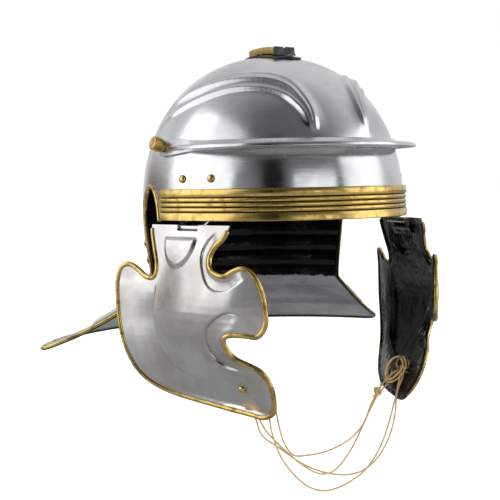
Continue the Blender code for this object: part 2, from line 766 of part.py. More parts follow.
def crown_surface(places, outside):
    """Points over the plan near the crown, at a distance outside the middle of the sheet."""
    points, normals = crown_normals(np.asarray(places, float))
    return points + normals * outside


def hinge_rivet_places():
    spreads = (-HINGE_RIVET_SPREAD, HINGE_RIVET_SPREAD)
    return tuple((GUARD_HINGE_Y + spread, HINGE_RIVET_LEVEL) for spread in spreads)


def build_helmet_sheet(collection):
    """Skull, nape and neck guard are one raised sheet."""
    holes = []
    for side in (-1, 1):
        for y, level in hinge_rivet_places():
            place = skull_frame(side, y, level)[2]
            holes.append(hole_on_surface(helmet_plain, place, RIVET_SHANK + GAP))
    inner = helmet_inner_points()
    for hole in holes:
        clear = np.linalg.norm(inner - hole.mean(axis=0), axis=1) > HOLE_CLEAR
        inner = inner[clear]
    brows, rows = helmet_folds()
    mesh = pattern_mesh("helmet_bowl", helmet_surface, helmet_outline(), inner, holes, [*brows, *rows])
    item = add_object("helmet_bowl", mesh, collection, STEEL)
    thicken(item, SHEET)
    return item


def build_edge_trim(collection):
    """One brass bead over both ears and round the neck guard."""
    half = helmet_plain(edge_line())
    points = np.vstack([half, half[:-1][::-1] * [-1.0, 1.0, 1.0]])
    return tube("edge_trim", thin_out(points, ROUTE_SLACK), TRIM_RADIUS, collection, BRASS)


def wall_ring(turn, section, level):
    """Points of a section standing on the outside of the skull wall at one turn."""
    ring = []
    normal = np.array([math.sin(turn) / SKULL_HALF_WIDTH, -math.cos(turn) / SKULL_HALF_LENGTH, 0.0])
    normal /= np.linalg.norm(normal)
    for out, up in section:
        wide = float(skull_share(level + up))
        x = SKULL_HALF_WIDTH * wide * math.sin(turn)
        y = -SKULL_HALF_LENGTH * wide * math.cos(turn)
        ring.append(np.array([x, y, level + up]) + normal * (SHEET / 2 + GAP + out))
    return ring


def band_section():
    """Ribbed section of the brow band: a ledge at the top and bottom, round ribs between."""
    section = [(0.0, 0.0), (0.0, BAND_HEIGHT)]
    outer = BAND_SHEET + BAND_LEDGE_RISE
    section += [(outer * 0.8, BAND_HEIGHT), (outer, BAND_HEIGHT - 0.1 * BAND_LEDGE_HEIGHT)]
    section += [(outer, BAND_HEIGHT - 0.9 * BAND_LEDGE_HEIGHT)]
    pitch = (BAND_HEIGHT - 2 * BAND_LEDGE_HEIGHT) / BAND_RIBS
    for rib in range(BAND_RIBS):
        top = BAND_HEIGHT - BAND_LEDGE_HEIGHT - rib * pitch
        section.append((BAND_SHEET, top))
        section.append((BAND_SHEET + BAND_RIB_RISE, top - 0.3 * pitch))
        section.append((BAND_SHEET + BAND_RIB_RISE, top - 0.7 * pitch))
    section += [(BAND_SHEET, BAND_LEDGE_HEIGHT), (outer, 0.9 * BAND_LEDGE_HEIGHT)]
    section += [(outer, 0.1 * BAND_LEDGE_HEIGHT), (outer * 0.8, 0.0)]
    return section


def build_brow_band(collection):
    end = math.acos(BAND_END / SKULL_HALF_LENGTH)
    rings = [wall_ring(turn, band_section(), 0.0) for turn in np.linspace(-end, end, 31)]
    return sweep("brow_band", rings, collection, BRASS)


def peak_end():
    return math.acos(PEAK_STUD_BACK / (SKULL_HALF_LENGTH * float(skull_share(PEAK_LEVEL))))


def peak_section(turn):
    """Angle bar in front, a flat arm at the sides."""
    arm = float(ease((abs(turn) / peak_end() - 0.70) / 0.30))
    side = float(ease((abs(turn) / peak_end() - 0.45) / 0.55))
    reach = PEAK_REACH + (PEAK_LEG + PEAK_ARM_BEAD - PEAK_REACH) * side
    half = PEAK_ROOT_HALF + (PEAK_ARM_HALF - PEAK_ROOT_HALF) * arm
    shelf = PEAK_SHELF / 2
    root = PEAK_LEG + 0.2 * (reach - PEAK_LEG)
    lip = reach - min(PEAK_SHELF, 0.4 * (reach - PEAK_LEG))
    return [
        (0.0, -half), (0.0, half), (PEAK_LEG, half), (root, shelf), (lip, shelf), (reach, 0.0),
        (reach, -PEAK_LIP), (lip, -PEAK_LIP), (lip - 0.1 * (reach - PEAK_LEG), -shelf), (root, -shelf * 1.2),
        (PEAK_LEG, -half),
    ]


def build_peak(collection):
    overhang = PEAK_ARM_HALF / SKULL_HALF_WIDTH
    end = peak_end() + overhang
    rings = [wall_ring(turn, peak_section(turn), PEAK_LEVEL) for turn in np.linspace(-end, end, 33)]
    return sweep("peak", rings, collection, STEEL)


def build_peak_stud(side, label, collection):
    """Brass stud that stands out of the arm of the peak."""
    outside = SHEET / 2 + GAP + PEAK_LEG + PEAK_ARM_BEAD + GAP
    foot, normal, _ = skull_frame(side, -PEAK_STUD_BACK, PEAK_LEVEL, outside)
    profile = [
        (0.0, STUD_LENGTH), (STUD_RADIUS - STUD_CHAMFER, STUD_LENGTH),
        (STUD_RADIUS, STUD_LENGTH - STUD_CHAMFER), (STUD_RADIUS, 0.0), (0.0, 0.0),
    ]
    return turned(f"peak_stud_{label}", profile, frame_at(foot, normal), collection, BRASS)


def rivet_profile(grip):
    """Domed rivet: its head sits on Z = 0 and its shank passes down through the grip."""
    angles = np.linspace(0.0, math.pi / 2, 4)
    dome = [(RIVET_HEAD * math.sin(angle), RIVET_DOME * math.cos(angle)) for angle in angles]
    foot = -grip
    tail = foot - RIVET_TAIL_TALL
    shank = [(RIVET_SHANK, 0.0), (RIVET_SHANK, foot)]
    return [*dome, *shank, (RIVET_TAIL, foot), (RIVET_TAIL, tail), (0.0, tail)]


def build_crest_plate(collection):
    """Dark foot plate that follows the crown."""
    lift = SHEET / 2 + GAP + CREST_WALL / 2
    angles = np.linspace(0.0, 2 * math.pi, 24, endpoint=False)
    power = 0.7
    outline = np.stack([
        CREST_PLATE_HALF_WIDTH * np.sign(np.cos(angles)) * np.abs(np.cos(angles)) ** power,
        CREST_MIDDLE + CREST_PLATE_HALF_LENGTH * np.sign(np.sin(angles)) * np.abs(np.sin(angles)) ** power,
    ], axis=1)
    holes = []
    for x, y in crest_rivet_places():
        turns = np.linspace(0.0, 2 * math.pi, 8, endpoint=False)
        radius = CREST_RIVET_SHANK + GAP
        holes.append(np.stack([x + radius * np.cos(turns), y + radius * np.sin(turns)], axis=1))
    spots = [(x, CREST_MIDDLE + y) for x in (-0.006, 0.0, 0.006) for y in (-0.018, -0.006, 0.006, 0.018)]
    mesh = pattern_mesh("crest_plate", lambda places: crown_surface(places, lift), outline, spots, holes)
    item = add_object("crest_plate", mesh, collection, BLACK_STEEL)
    thicken(item, CREST_WALL)
    return item


def build_crest_channel(collection):
    """Brass channel along the crown with a slot in its top, into which a crest would slide."""
    half = CREST_WIDTH / 2
    slot = CREST_SLOT / 2
    tall = CREST_TALL
    wall = CREST_WALL
    section = [
        (-half, 0.0), (half, 0.0), (half, tall), (slot, tall), (slot, tall - wall),
        (half - wall, tall - wall), (half - wall, wall), (wall - half, wall), (wall - half, tall - wall),
        (-slot, tall - wall), (-slot, tall), (-half, tall),
    ]
    foot = SHEET / 2 + GAP + CREST_WALL + GAP
    rings = []
    for y in np.linspace(CREST_MIDDLE - CREST_LENGTH / 2, CREST_MIDDLE + CREST_LENGTH / 2, 9):
        base = float(crown_height(0.0, y)) + foot
        rings.append([(x, y, base + up) for x, up in section])
    return sweep("crest_channel", rings, collection, BRASS)


def build_crest_rivets(collection):
    for number, (x, y) in enumerate(crest_rivet_places()):
        place = np.array([[x, y]])
        point = Vector(crown_surface(place, SHEET / 2 + GAP + CREST_WALL + 2 * GAP)[0])
        normal = Vector(crown_normals(place)[1][0])
        scale = CREST_RIVET_HEAD / RIVET_HEAD
        dome = [(radius * scale, height * scale) for radius, height in rivet_profile(0.0)[:4]]
        profile = [*dome, (CREST_RIVET_SHANK, 0.0), (CREST_RIVET_SHANK, -CREST_WALL), (0.0, -CREST_WALL)]
        label = ("front", "rear", "right", "left")[number]
        turned(f"crest_rivet_{label}", profile, frame_at(point, normal), collection, BLACK_STEEL)


def guard_plain(places):
    """The cheek guard's sheet on the left side, from places in the side view: y and z."""
    places = np.asarray(places, float)
    y, z = places[..., 0], places[..., 1]
    rows = smooth_curve(GUARD_ROWS, 6)
    down = np.clip((-z - GUARD_TOP) / (GUARD_DROP - GUARD_TOP), -0.2, 1.2)
    out = np.interp(down, rows[:, 0], rows[:, 1]) * GUARD_DROP
    turn, bow, curl = (np.interp(down, rows[:, 0], rows[:, column]) for column in (2, 3, 4))
    back = (y - GUARD_MIDDLE_Y) / GUARD_LENGTH
    bend = (turn * back + bow * 4 * back ** 2 + curl * 8 * back ** 3) * GUARD_LENGTH
    return np.stack([GUARD_OUT + out + bend, y, z], axis=-1)


def guard_place(ahead, down):
    """Place in the side view from shares of the guard's length and drop."""
    return np.array([GUARD_MIDDLE_Y - ahead * GUARD_LENGTH, -down * GUARD_DROP])


def guard_relief(places):
    """Embossing of the cheek guard: a half-round boss near the hinge and three creases."""
    places = np.asarray(places, float)
    middle = guard_place(*GUARD_BOSS)
    across = (places[:, 0] - middle[0]) / GUARD_BOSS_HALF
    below = (middle[1] - places[:, 1]) / GUARD_BOSS_TALL
    round_edge = (1.0 - np.hypot(across, np.maximum(below, 0.0))) * GUARD_BOSS_HALF
    flat_edge = (middle[1] - places[:, 1])
    within = np.minimum(round_edge, flat_edge + GUARD_BOSS_SLOPE)
    height = GUARD_BOSS_HEIGHT * ease(within / GUARD_BOSS_SLOPE)
    for crease in GUARD_CREASES:
        line = smooth_curve([guard_place(*spot) for spot in crease], 4)
        height = height - GUARD_CREASE_DEPTH * ridge(distance_to_line(places, line), GUARD_CREASE_HALF)
    from_edge = distance_to_line(places, guard_edge_line()) - GUARD_TRIM_RADIUS - EDGE_GAP
    from_eye = np.linalg.norm(places - guard_place(*EYE_PLACE), axis=1) - RIVET_HEAD
    return height * ease(from_edge / GUARD_RIM_FLAT) * ease(from_eye / GUARD_RIM_FLAT)


def guard_surface(places):
    places = np.asarray(places, float)
    return guard_plain(places) + guard_normals(places) * guard_relief(places)[:, None]


def guard_normals(places):
    return surface_normals(guard_plain, places)


def guard_edge_line():
    """Middle of the brass trim: from the rear top corner round to the front top corner."""
    spots = [guard_place(*spot) for spot in GUARD_EDGE]
    return smooth_curve(spots, 2)


def hinge_axis():
    """Point and direction of the left hinge pin, and the direction out of the guard."""
    level = -GUARD_TOP - HINGE_SLOT_TALL / 2
    place = np.array([[GUARD_HINGE_Y, level]])
    normal = guard_normals(place)[0]
    normal[2] = 0.0
    normal /= np.linalg.norm(normal)
    inward = SHEET / 2 + HINGE_PIN_EASE + HINGE_PLATE_SHEET + HINGE_PIN_RADIUS + GAP
    point = guard_plain(place)[0] - normal * inward
    axis = np.array([-normal[1], normal[0], 0.0])
    return point, axis, normal


def guard_outline():
    edge = inset_on_surface(guard_plain, guard_edge_line(), -(GUARD_TRIM_RADIUS + EDGE_GAP))
    top = -GUARD_TOP
    edge = edge[edge[:, 1] < top - STEP]
    slot = HINGE_KNUCKLE_LENGTH / 2 + GAP * 2
    low = top - HINGE_SLOT_TALL
    _, axis, _ = hinge_axis()
    reach = slot * axis[1]
    slot_front, slot_rear = GUARD_HINGE_Y - reach, GUARD_HINGE_Y + reach
    front = [(y, top) for y in np.linspace(edge[-1, 0] - STEP, slot_front, 5)]
    rear = [(y, top) for y in np.linspace(slot_rear, edge[0, 0] + STEP, 5)]
    return np.vstack([edge, front, [(slot_front, low), (slot_rear, low)], rear])


def guard_inner_points():
    outline = guard_outline()
    low, high = outline.min(axis=0), outline.max(axis=0)
    grid = []
    for row, z in enumerate(np.arange(low[1], high[1], GUARD_FACET * 0.87)):
        shift = GUARD_FACET / 2 if row % 2 else 0.0
        grid += [(y + shift, z) for y in np.arange(low[0], high[0], GUARD_FACET)]
    grid = np.array(grid)
    lines = [smooth_curve([guard_place(*spot) for spot in crease], 2) for crease in GUARD_CREASES]
    clear = np.ones(len(grid), bool)
    for line in lines:
        clear &= distance_to_line(grid, line) > GUARD_CREASE_CLEAR
    closed = np.vstack([outline, outline[:1]])
    clear &= distance_to_line(grid, closed) > GUARD_RIM_CLEAR
    creases = np.vstack(lines)
    creases = creases[distance_to_line(creases, closed) > GUARD_END_CLEAR]
    return np.vstack([grid[clear], creases])


def eye_frame():
    """Point on the guard's sheet where the eye rivet sits, and the direction out."""
    place = guard_place(*EYE_PLACE)[None]
    normal = guard_normals(place)[0]
    return guard_surface(place)[0] + normal * SHEET / 2, normal, place[0]


def mirror_point(point, side):
    return np.asarray(point, float) * [side, 1.0, 1.0]


def build_guard(side, label, collection):
    """Cheek guard: one embossed steel sheet."""
    hole = hole_on_surface(guard_plain, eye_frame()[2], RIVET_SHANK + GAP)
    inner = guard_inner_points()
    inner = inner[np.linalg.norm(inner - hole.mean(axis=0), axis=1) > GUARD_RIM_CLEAR]
    name = f"cheek_guard_{label}"

    def sheet(places):
        return mirror_point(guard_surface(places), side)

    item = add_object(name, pattern_mesh(name, sheet, guard_outline(), inner, [hole]), collection, STEEL)
    thicken(item, SHEET)
    return item


def build_guard_trim(side, label, collection):
    path = thin_out(mirror_point(guard_plain(guard_edge_line()), side), ROUTE_SLACK)
    return tube(f"cheek_guard_trim_{label}", path, GUARD_TRIM_RADIUS, collection, BRASS)


def ribbon(points, thickness):
    """Closed outline of a bent strip from its middle line."""
    points = np.asarray(points, float)
    direction = np.gradient(points, axis=0)
    direction /= np.linalg.norm(direction, axis=1, keepdims=True)
    side = np.stack([-direction[:, 1], direction[:, 0]], axis=1) * thickness / 2
    return np.vstack([points + side, (points - side)[::-1]])


def hinge_ring(section, along, side):
    """A section in the hinge's own plane, out and up, set at a distance along the pin."""
    point, axis, normal = hinge_axis()
    ring = []
    for out, up in section:
        place = point + axis * along + normal * out
        ring.append(mirror_point(place + np.array([0.0, 0.0, up]), side))
    return ring


def skull_inside(along, up):
    """Distance out from the hinge pin's line to the inner face of the skull wall."""
    point, axis, normal = hinge_axis()
    level = point[2] + up
    start = point + axis * along
    half_width = SKULL_HALF_WIDTH * float(skull_share(level)) - SHEET / 2
    half_length = SKULL_HALF_LENGTH * float(skull_share(level)) - SHEET / 2
    scale = np.array([1 / half_width, 1 / half_length])
    p = start[:2] * scale
    d = normal[:2] * scale
    a, b, c = d @ d, 2 * p @ d, p @ p - 1.0
    return (-b + math.sqrt(b * b - 4 * a * c)) / (2 * a)


def knuckle_line(start, radius):
    """Points of a strip rolled round the pin."""
    angles = np.linspace(start, start + HINGE_KNUCKLE_TURN, 11)
    return [(radius * math.cos(angle), radius * math.sin(angle)) for angle in angles]


def knuckle_radius():
    return HINGE_PIN_RADIUS + GAP + HINGE_PLATE_SHEET / 2


def plate_line():
    """Middle line of the hinge plate inside the skull, from its top down: out and up from the pin."""
    point, _, _ = hinge_axis()
    half = HINGE_PLATE_WIDTH / 2
    line = []
    for level in np.linspace(HINGE_PLATE_TALL, 0.0, 6):
        up = level - point[2]
        inner = min(skull_inside(along, up) for along in (-half, 0.0, half))
        line.append((inner - HINGE_PLATE_EASE - HINGE_PLATE_SHEET / 2, up))
    return line


def plate_depth(y, level):
    """How far a hinge rivet's tail lies inside the foot of its head, to rest on the plate's inner face."""
    foot, normal, _ = skull_frame(1, y, level, SHEET / 2 + GAP)
    turned_frame = np.array(frame_at(foot, normal))[:3]
    point, _, out = hinge_axis()
    line = np.array(plate_line())[::-1]
    depths = np.linspace(0.0, HINGE_DRILL_DEPTH / 2, 200)
    needed = []
    for turn in np.linspace(0.0, 2 * math.pi, RIVET_SIDES, endpoint=False):
        rim = RIVET_TAIL * (math.cos(turn) * turned_frame[:, 0] + math.sin(turn) * turned_frame[:, 1])
        spots = np.array(foot) + rim - np.outer(depths, normal) - point
        face = np.interp(spots[:, 2], line[:, 1], line[:, 0]) - HINGE_PLATE_SHEET / 2
        needed.append(np.interp(0.0, face - spots @ out, depths))
    return max(needed) + GAP


def build_hinge_plate(side, label, collection, cutters):
    """Plate riveted inside the skull, whose lower end is rolled round the pin."""
    half = HINGE_PLATE_WIDTH / 2
    line = plate_line()
    radius = knuckle_radius()
    plate = ribbon(line, HINGE_PLATE_SHEET)
    rings = [hinge_ring(plate, along, side) for along in (-half, half)]
    item = sweep(f"hinge_plate_{label}", rings, collection, STEEL)
    foot = line[-1]
    neck = [(foot[0], foot[1] + HINGE_PLATE_SHEET), (foot[0], foot[1] - STEP), (-radius, radius)]
    rolled = ribbon([*neck, *knuckle_line(math.pi, radius)], HINGE_PLATE_SHEET)
    length = HINGE_KNUCKLE_LENGTH / 2
    rings = [hinge_ring(rolled, along, side) for along in (-length, length)]
    knuckle = sweep(f"hinge_knuckle_{label}", rings, cutters, None)
    join_meshes(item, knuckle, "UNION")
    for number, (y, level) in enumerate(hinge_rivet_places()):
        point, normal, _ = skull_frame(side, y, level)
        bpy.ops.mesh.primitive_cylinder_add(vertices=10, radius=RIVET_SHANK + GAP, depth=HINGE_DRILL_DEPTH)
        drill = bpy.context.object
        drill.name = f"hinge_drill_{label}_{number}"
        drill.matrix_world = frame_at(point, normal)
        for owner in list(drill.users_collection):
            owner.objects.unlink(drill)
        cutters.objects.link(drill)
        join_meshes(item, drill, "DIFFERENCE")
    return item


def flap_line():
    """Middle line of the strip behind the guard, from its lower end up and round the pin."""
    point, axis, normal = hinge_axis()
    radius = knuckle_radius()
    far = flap_reach()[1]

    def behind(up):
        spots = []
        for along in np.linspace(-far, far, 7):
            place = point + axis * along
            sheet = guard_surface(np.array([[place[1], point[2] + up]]))[0]
            spots.append((sheet - place) @ normal)
        return min(spots) - SHEET / 2 - HINGE_FLAP_EASE - HINGE_PLATE_SHEET / 2

    low = [(behind(-up), -up) for up in np.linspace(HINGE_FLAP_TALL, 2.6 * radius, 4)]
    return low, [(0.9 * radius, -0.9 * radius), *knuckle_line(0.0, radius)]


def flap_reach():
    """How far from the middle of the pin each roll of the flap starts and ends."""
    start = HINGE_KNUCKLE_LENGTH / 2 + 2 * GAP
    return start, start + HINGE_SIDE_LENGTH


def build_hinge_flap(side, label, collection):
    """Strip behind the cheek guard, rolled round the pin on both sides of the plate's knuckle."""
    low, rolled = flap_line()
    near, far = flap_reach()
    stops = (-far, -near, near, far)
    outline = ribbon([*low, *rolled], HINGE_PLATE_SHEET)
    count = len(low) + len(rolled)
    points = [point for along in stops for point in hinge_ring(outline, along, side)]

    def corner(stop, step, face):
        return stop * len(outline) + (step if face == 0 else len(outline) - 1 - step)

    def solid(stop, step):
        """The middle span has no roll, because the plate's knuckle turns there."""
        in_strip = 0 <= step < count - 1
        return in_strip and 0 <= stop < len(stops) - 1 and (stop != 1 or step < len(low) - 1)

    ways = ((0, 0), (1, 0), (1, 1), (0, 1))
    faces = []
    for stop in range(len(stops) - 1):
        for step in range(count - 1):
            if not solid(stop, step):
                continue
            for face in (0, 1):
                faces.append([corner(stop + a, step + b, face) for a, b in ways])
            for move in (0, 1):
                if not solid(stop + 2 * move - 1, step):
                    faces.append([corner(stop + move, step + a, face) for a, face in ways])
                if not solid(stop, step + 2 * move - 1):
                    faces.append([corner(stop + a, step + move, face) for a, face in ways])
    mesh = mesh_from(f"hinge_flap_{label}", points, faces)
    return add_object(f"hinge_flap_{label}", outward(mesh), collection, STEEL)


def build_hinge_pin(side, label, collection):
    point, axis, _ = hinge_axis()
    half = flap_reach()[1] + STEP
    start = mirror_point(point - axis * half, side)
    along = Vector(mirror_point(axis, side))
    profile = [(0.0, 2 * half), (HINGE_PIN_RADIUS, 2 * half), (HINGE_PIN_RADIUS, 0.0), (0.0, 0.0)]
    return turned(f"hinge_pin_{label}", profile, frame_at(Vector(start), along), collection, BRASS)


def build_hinge_rivets(side, label, collection):
    for number, (y, level) in enumerate(hinge_rivet_places()):
        point, normal, _ = skull_frame(side, y, level, SHEET / 2 + GAP)
        profile = rivet_profile(plate_depth(y, level))
        name = f"hinge_rivet_{label}_{('front', 'rear')[number]}"
        turned(name, profile, frame_at(point, normal), collection, BRASS)


def build_cord_eye(side, label, collection, cutters):
    """Brass rivet through the guard with a ring inside for the cord."""
    point, normal, _ = eye_frame()
    outward = Vector(mirror_point(normal, side))
    foot = Vector(mirror_point(point + normal * GAP, side))
    grip = SHEET + EYE_STAND - EYE_RING
    profile = rivet_profile(grip)
    item = turned(f"cord_eye_{label}", profile, frame_at(foot, outward), collection, BRASS)
    centre = foot - outward * (grip + RIVET_TAIL_TALL + EYE_RING - EYE_WIRE * 0.5)
    bpy.ops.mesh.primitive_torus_add(
        major_radius=EYE_RING, minor_radius=EYE_WIRE, major_segments=14, minor_segments=6,
    )
    ring = bpy.context.object
    ring.name = f"cord_eye_ring_{label}"
    across = outward.cross(Vector((0.0, 0.0, 1.0)))
    ring.matrix_world = frame_at(centre, across)
    for owner in list(ring.users_collection):
        owner.objects.unlink(ring)
    cutters.objects.link(ring)
    join_meshes(item, ring, "UNION")
    return item


def build_cords(collection):
    """The chin cord in two lengths that end at the knot."""
    for name, route in (("chin_cord_front", CORD_FRONT_ROUTE), ("chin_cord_rear", CORD_REAR_ROUTE)):
        path = thin_out(smooth_curve(route, 8), CORD_SLACK)
        tube(name, path, CORD_RADIUS, collection, CORD, resolution=2)


def build_knot(collection):
    bpy.ops.mesh.primitive_uv_sphere_add(segments=12, ring_count=8, radius=KNOT_RADIUS, location=KNOT)
    knot = bpy.context.object
    knot.name = "cord_knot"
    knot.data.name = "cord_knot"
    knot.data.materials.append(material(CORD))
    for owner in list(knot.users_collection):
        owner.objects.unlink(knot)
    collection.objects.link(knot)
    return knot


def main():
    clear_scene()
    pieces = make_collection("legionary_helmet")
    cutters = make_collection("cutters")
    build_helmet_sheet(pieces)
    build_edge_trim(pieces)
    build_brow_band(pieces)
    build_peak(pieces)
    build_crest_plate(pieces)
    build_crest_channel(pieces)
    build_crest_rivets(pieces)
    for side, label in ((-1, "right"), (1, "left")):
        build_peak_stud(side, label, pieces)
        build_guard(side, label, pieces)
        build_guard_trim(side, label, pieces)
        build_hinge_plate(side, label, pieces, cutters)
        build_hinge_flap(side, label, pieces)
        build_hinge_pin(side, label, pieces)
        build_hinge_rivets(side, label, pieces)
        build_cord_eye(side, label, pieces, cutters)
    build_cords(pieces)
    build_knot(pieces)


main()
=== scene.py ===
"""Looks of the legionary helmet: polished steel, brass fittings, black paint inside and a tan chin cord."""
import math

import bmesh
import bpy
import numpy as np
from mathutils import Matrix, Vector


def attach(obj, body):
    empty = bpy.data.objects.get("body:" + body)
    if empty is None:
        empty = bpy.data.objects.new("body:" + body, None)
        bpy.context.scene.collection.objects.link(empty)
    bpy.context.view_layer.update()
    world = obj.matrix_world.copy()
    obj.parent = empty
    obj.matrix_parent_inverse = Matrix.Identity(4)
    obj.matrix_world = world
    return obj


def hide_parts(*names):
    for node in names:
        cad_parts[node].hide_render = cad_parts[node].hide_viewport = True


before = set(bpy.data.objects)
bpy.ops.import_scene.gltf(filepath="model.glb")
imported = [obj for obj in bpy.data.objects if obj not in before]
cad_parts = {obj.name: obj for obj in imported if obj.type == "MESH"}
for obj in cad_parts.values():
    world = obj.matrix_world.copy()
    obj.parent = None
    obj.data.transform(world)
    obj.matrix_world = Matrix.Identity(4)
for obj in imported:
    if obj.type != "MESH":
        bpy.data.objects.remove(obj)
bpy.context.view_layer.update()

# Sheet thicknesses and clearances, as in the solids
SHEET = 0.0012
GAP = 0.0003

# Skull, nape and neck guard
SKULL_HALF_WIDTH = 0.1006
SKULL_HALF_LENGTH = 0.1156
SKULL_HEIGHT = 0.1270
WALL_HEIGHT = 0.0040
RISE_POWER = 2.25
SPREAD_POWER = 2.15
SKULL_RUN = 0.165
NAPE_DROP = 0.057
NAPE_TAPER = 0.946
NAPE_RIBS = (0.40, 0.62, 0.84)
NAPE_RIB_HEIGHT = 0.0019
NAPE_RIB_HALF = 0.0048
NAPE_RIB_CREST = 0.0012
BRIM_REACH = 0.190
BRIM_DROP = 0.048
BRIM_DISH = 0.10
BRIM_CORNER = 0.016
BRIM_TIP_TURN = math.radians(116.5)
BRIM_STEP_HEIGHT = 0.0025
BRIM_STEP = (0.14, 0.50)
BRIM_STEP_SLOPE = 0.05
EAR_FRONT = -0.001
EAR_BACK = 0.037
EAR_TOP = 0.026

# Eyebrows: places on the upper and the lower ridge, in degrees round and up
BROW_ROWS = (
    # turn, lift, turn, lift
    (14.6, 24.6, 15.4, 24.9),
    (14.0, 28.5, 16.5, 29.0),
    (14.2, 35.0, 18.5, 34.0),
    (16.5, 42.0, 22.0, 38.5),
    (21.0, 49.5, 27.0, 42.5),
    (31.0, 54.5, 35.0, 45.5),
    (46.0, 56.0, 47.0, 46.8),
    (64.0, 55.2, 61.0, 45.8),
    (81.0, 52.0, 78.0, 41.5),
    (97.0, 45.5, 93.0, 36.0),
    (112.0, 37.0, 108.0, 29.5),
    (119.0, 32.0, 117.0, 27.0),
)
RIDGE_POWER = 1.6
BROW_RIDGES = 3
BROW_RIDGE_HEIGHT = 0.0013
BROW_RIDGE_HALF = 0.0042
BROW_RIDGE_CREST = 0.0003
BROW_RIDGE_START = 24.5
BROW_RIDGE_FADE = 7.0
BROW_REAR_START = 88.0
BROW_REAR_FADE = 18.0
BROW_SWELL_HEIGHT = 0.0026
BROW_SWELL_HALF = 0.014
BROW_SWELL_START = 23.0
BROW_SWELL_FADE = 12.0
BROW_SWELL_LATE = 0.4

# Brow band, peak and studs
BAND_HEIGHT = 0.0235
BAND_SHEET = 0.0008
BAND_END = 0.008
BAND_LEDGE_HEIGHT = 0.0063
BAND_LEDGE_RISE = 0.0016
BAND_RIBS = 3
BAND_RIB_RISE = 0.0014
PEAK_LEVEL = 0.0555
PEAK_REACH = 0.0170
PEAK_LEG = 0.0016
PEAK_LIP = 0.0026
PEAK_ROOT_HALF = 0.0036
PEAK_ARM_HALF = 0.0068
PEAK_ARM_BEAD = 0.0006
PEAK_SHELF = 0.0014
PEAK_STUD_BACK = 0.003
STUD_RADIUS = 0.0054
STUD_LENGTH = 0.0095
STUD_CHAMFER = 0.0010

# Crest holder
CREST_PLATE_HALF_WIDTH = 0.0155
CREST_PLATE_HALF_LENGTH = 0.0325
CREST_PLATE_SQUARE = 0.7
CREST_PLATE_SCALLOP = 0.035
CREST_MIDDLE = -0.0050
CREST_WIDTH = 0.0190
CREST_LENGTH = 0.0380
CREST_TALL = 0.0058
CREST_WALL = 0.0012
CREST_SLOT = 0.0030
CREST_RIVET_INSET = 0.0045
CREST_END_SHEET = 0.0012
CREST_RIVET_HEAD = 0.0024

# Trims and rivets
TRIM_RADIUS = 0.0018
GUARD_TRIM_RADIUS = 0.0020
RIVET_HEAD = 0.0031
RIVET_DOME = 0.0020
RIVET_SHANK = 0.0015
RIVET_TAIL = 0.0024
RIVET_TAIL_TALL = 0.0008

# Cheek guards
GUARD_HINGE_Y = -0.0455
GUARD_OUT = 0.0979
GUARD_TOP = 0.0028
GUARD_DROP = 0.138
GUARD_LENGTH = 0.139
GUARD_MIDDLE_Y = -0.0450
GUARD_ROWS = (
    # down the sheet and out at its middle as shares of the drop; turn, bow and curl as shares of the length
    (0.00, 0.000, 0.235, -0.021, 0.046),
    (0.25, 0.061, 0.105, -0.035, 0.133),
    (0.50, 0.094, 0.119, -0.063, 0.127),
    (0.75, 0.017, 0.302, -0.015, 0.064),
    (1.00, -0.144, 0.464, 0.092, 0.013),
)
GUARD_EDGE = (
    # ahead of the middle as a share of the length, down as a share of the drop
    (-0.286, 0.047), (-0.276, 0.085), (-0.246, 0.164), (-0.220, 0.228), (-0.216, 0.279), (-0.243, 0.312),
    (-0.305, 0.305), (-0.370, 0.266), (-0.424, 0.242), (-0.466, 0.259), (-0.481, 0.318), (-0.484, 0.410),
    (-0.474, 0.565), (-0.430, 0.732), (-0.364, 0.860), (-0.262, 0.938), (-0.096, 0.987), (0.074, 1.014),
    (0.220, 1.026), (0.310, 1.032), (0.378, 1.002), (0.428, 0.938), (0.456, 0.848), (0.440, 0.771),
    (0.390, 0.733), (0.335, 0.703), (0.311, 0.656), (0.310, 0.608), (0.345, 0.576), (0.418, 0.572),
    (0.466, 0.578), (0.494, 0.546), (0.508, 0.488), (0.500, 0.369), (0.467, 0.273), (0.420, 0.233),
    (0.377, 0.246), (0.330, 0.274), (0.274, 0.260), (0.238, 0.226), (0.227, 0.176), (0.244, 0.124),
    (0.278, 0.086), (0.290, 0.052),
)
GUARD_RIM_FLAT = 0.0025
GUARD_RIM_COVER = 0.6
GUARD_BOSS = (-0.030, 0.108)
GUARD_BOSS_HALF = 0.0190
GUARD_BOSS_TALL = 0.0200
GUARD_BOSS_HEIGHT = 0.0026
GUARD_BOSS_SLOPE = 0.0036
GUARD_CREASE_WALL = 0.0013
GUARD_FLUTES = (
    # side of the margin, depth, width of the flute, length of each fading end
    (1.0, 0.0038, 0.0235, 0.030), (-1.0, 0.0016, 0.0105, 0.009), (-1.0, 0.0019, 0.0110, 0.022),
)
GUARD_CREASES = (
    ((-0.205, 0.335), (-0.215, 0.450), (-0.205, 0.600), (-0.165, 0.755), (-0.070, 0.825), (0.090, 0.872),
     (0.370, 0.918)),
    ((0.240, 0.045), (0.182, 0.100), (0.166, 0.185), (0.240, 0.316), (0.330, 0.347), (0.430, 0.280)),
    ((0.468, 0.512), (0.370, 0.460), (0.245, 0.540), (0.192, 0.655), (0.240, 0.745), (0.385, 0.772)),
)

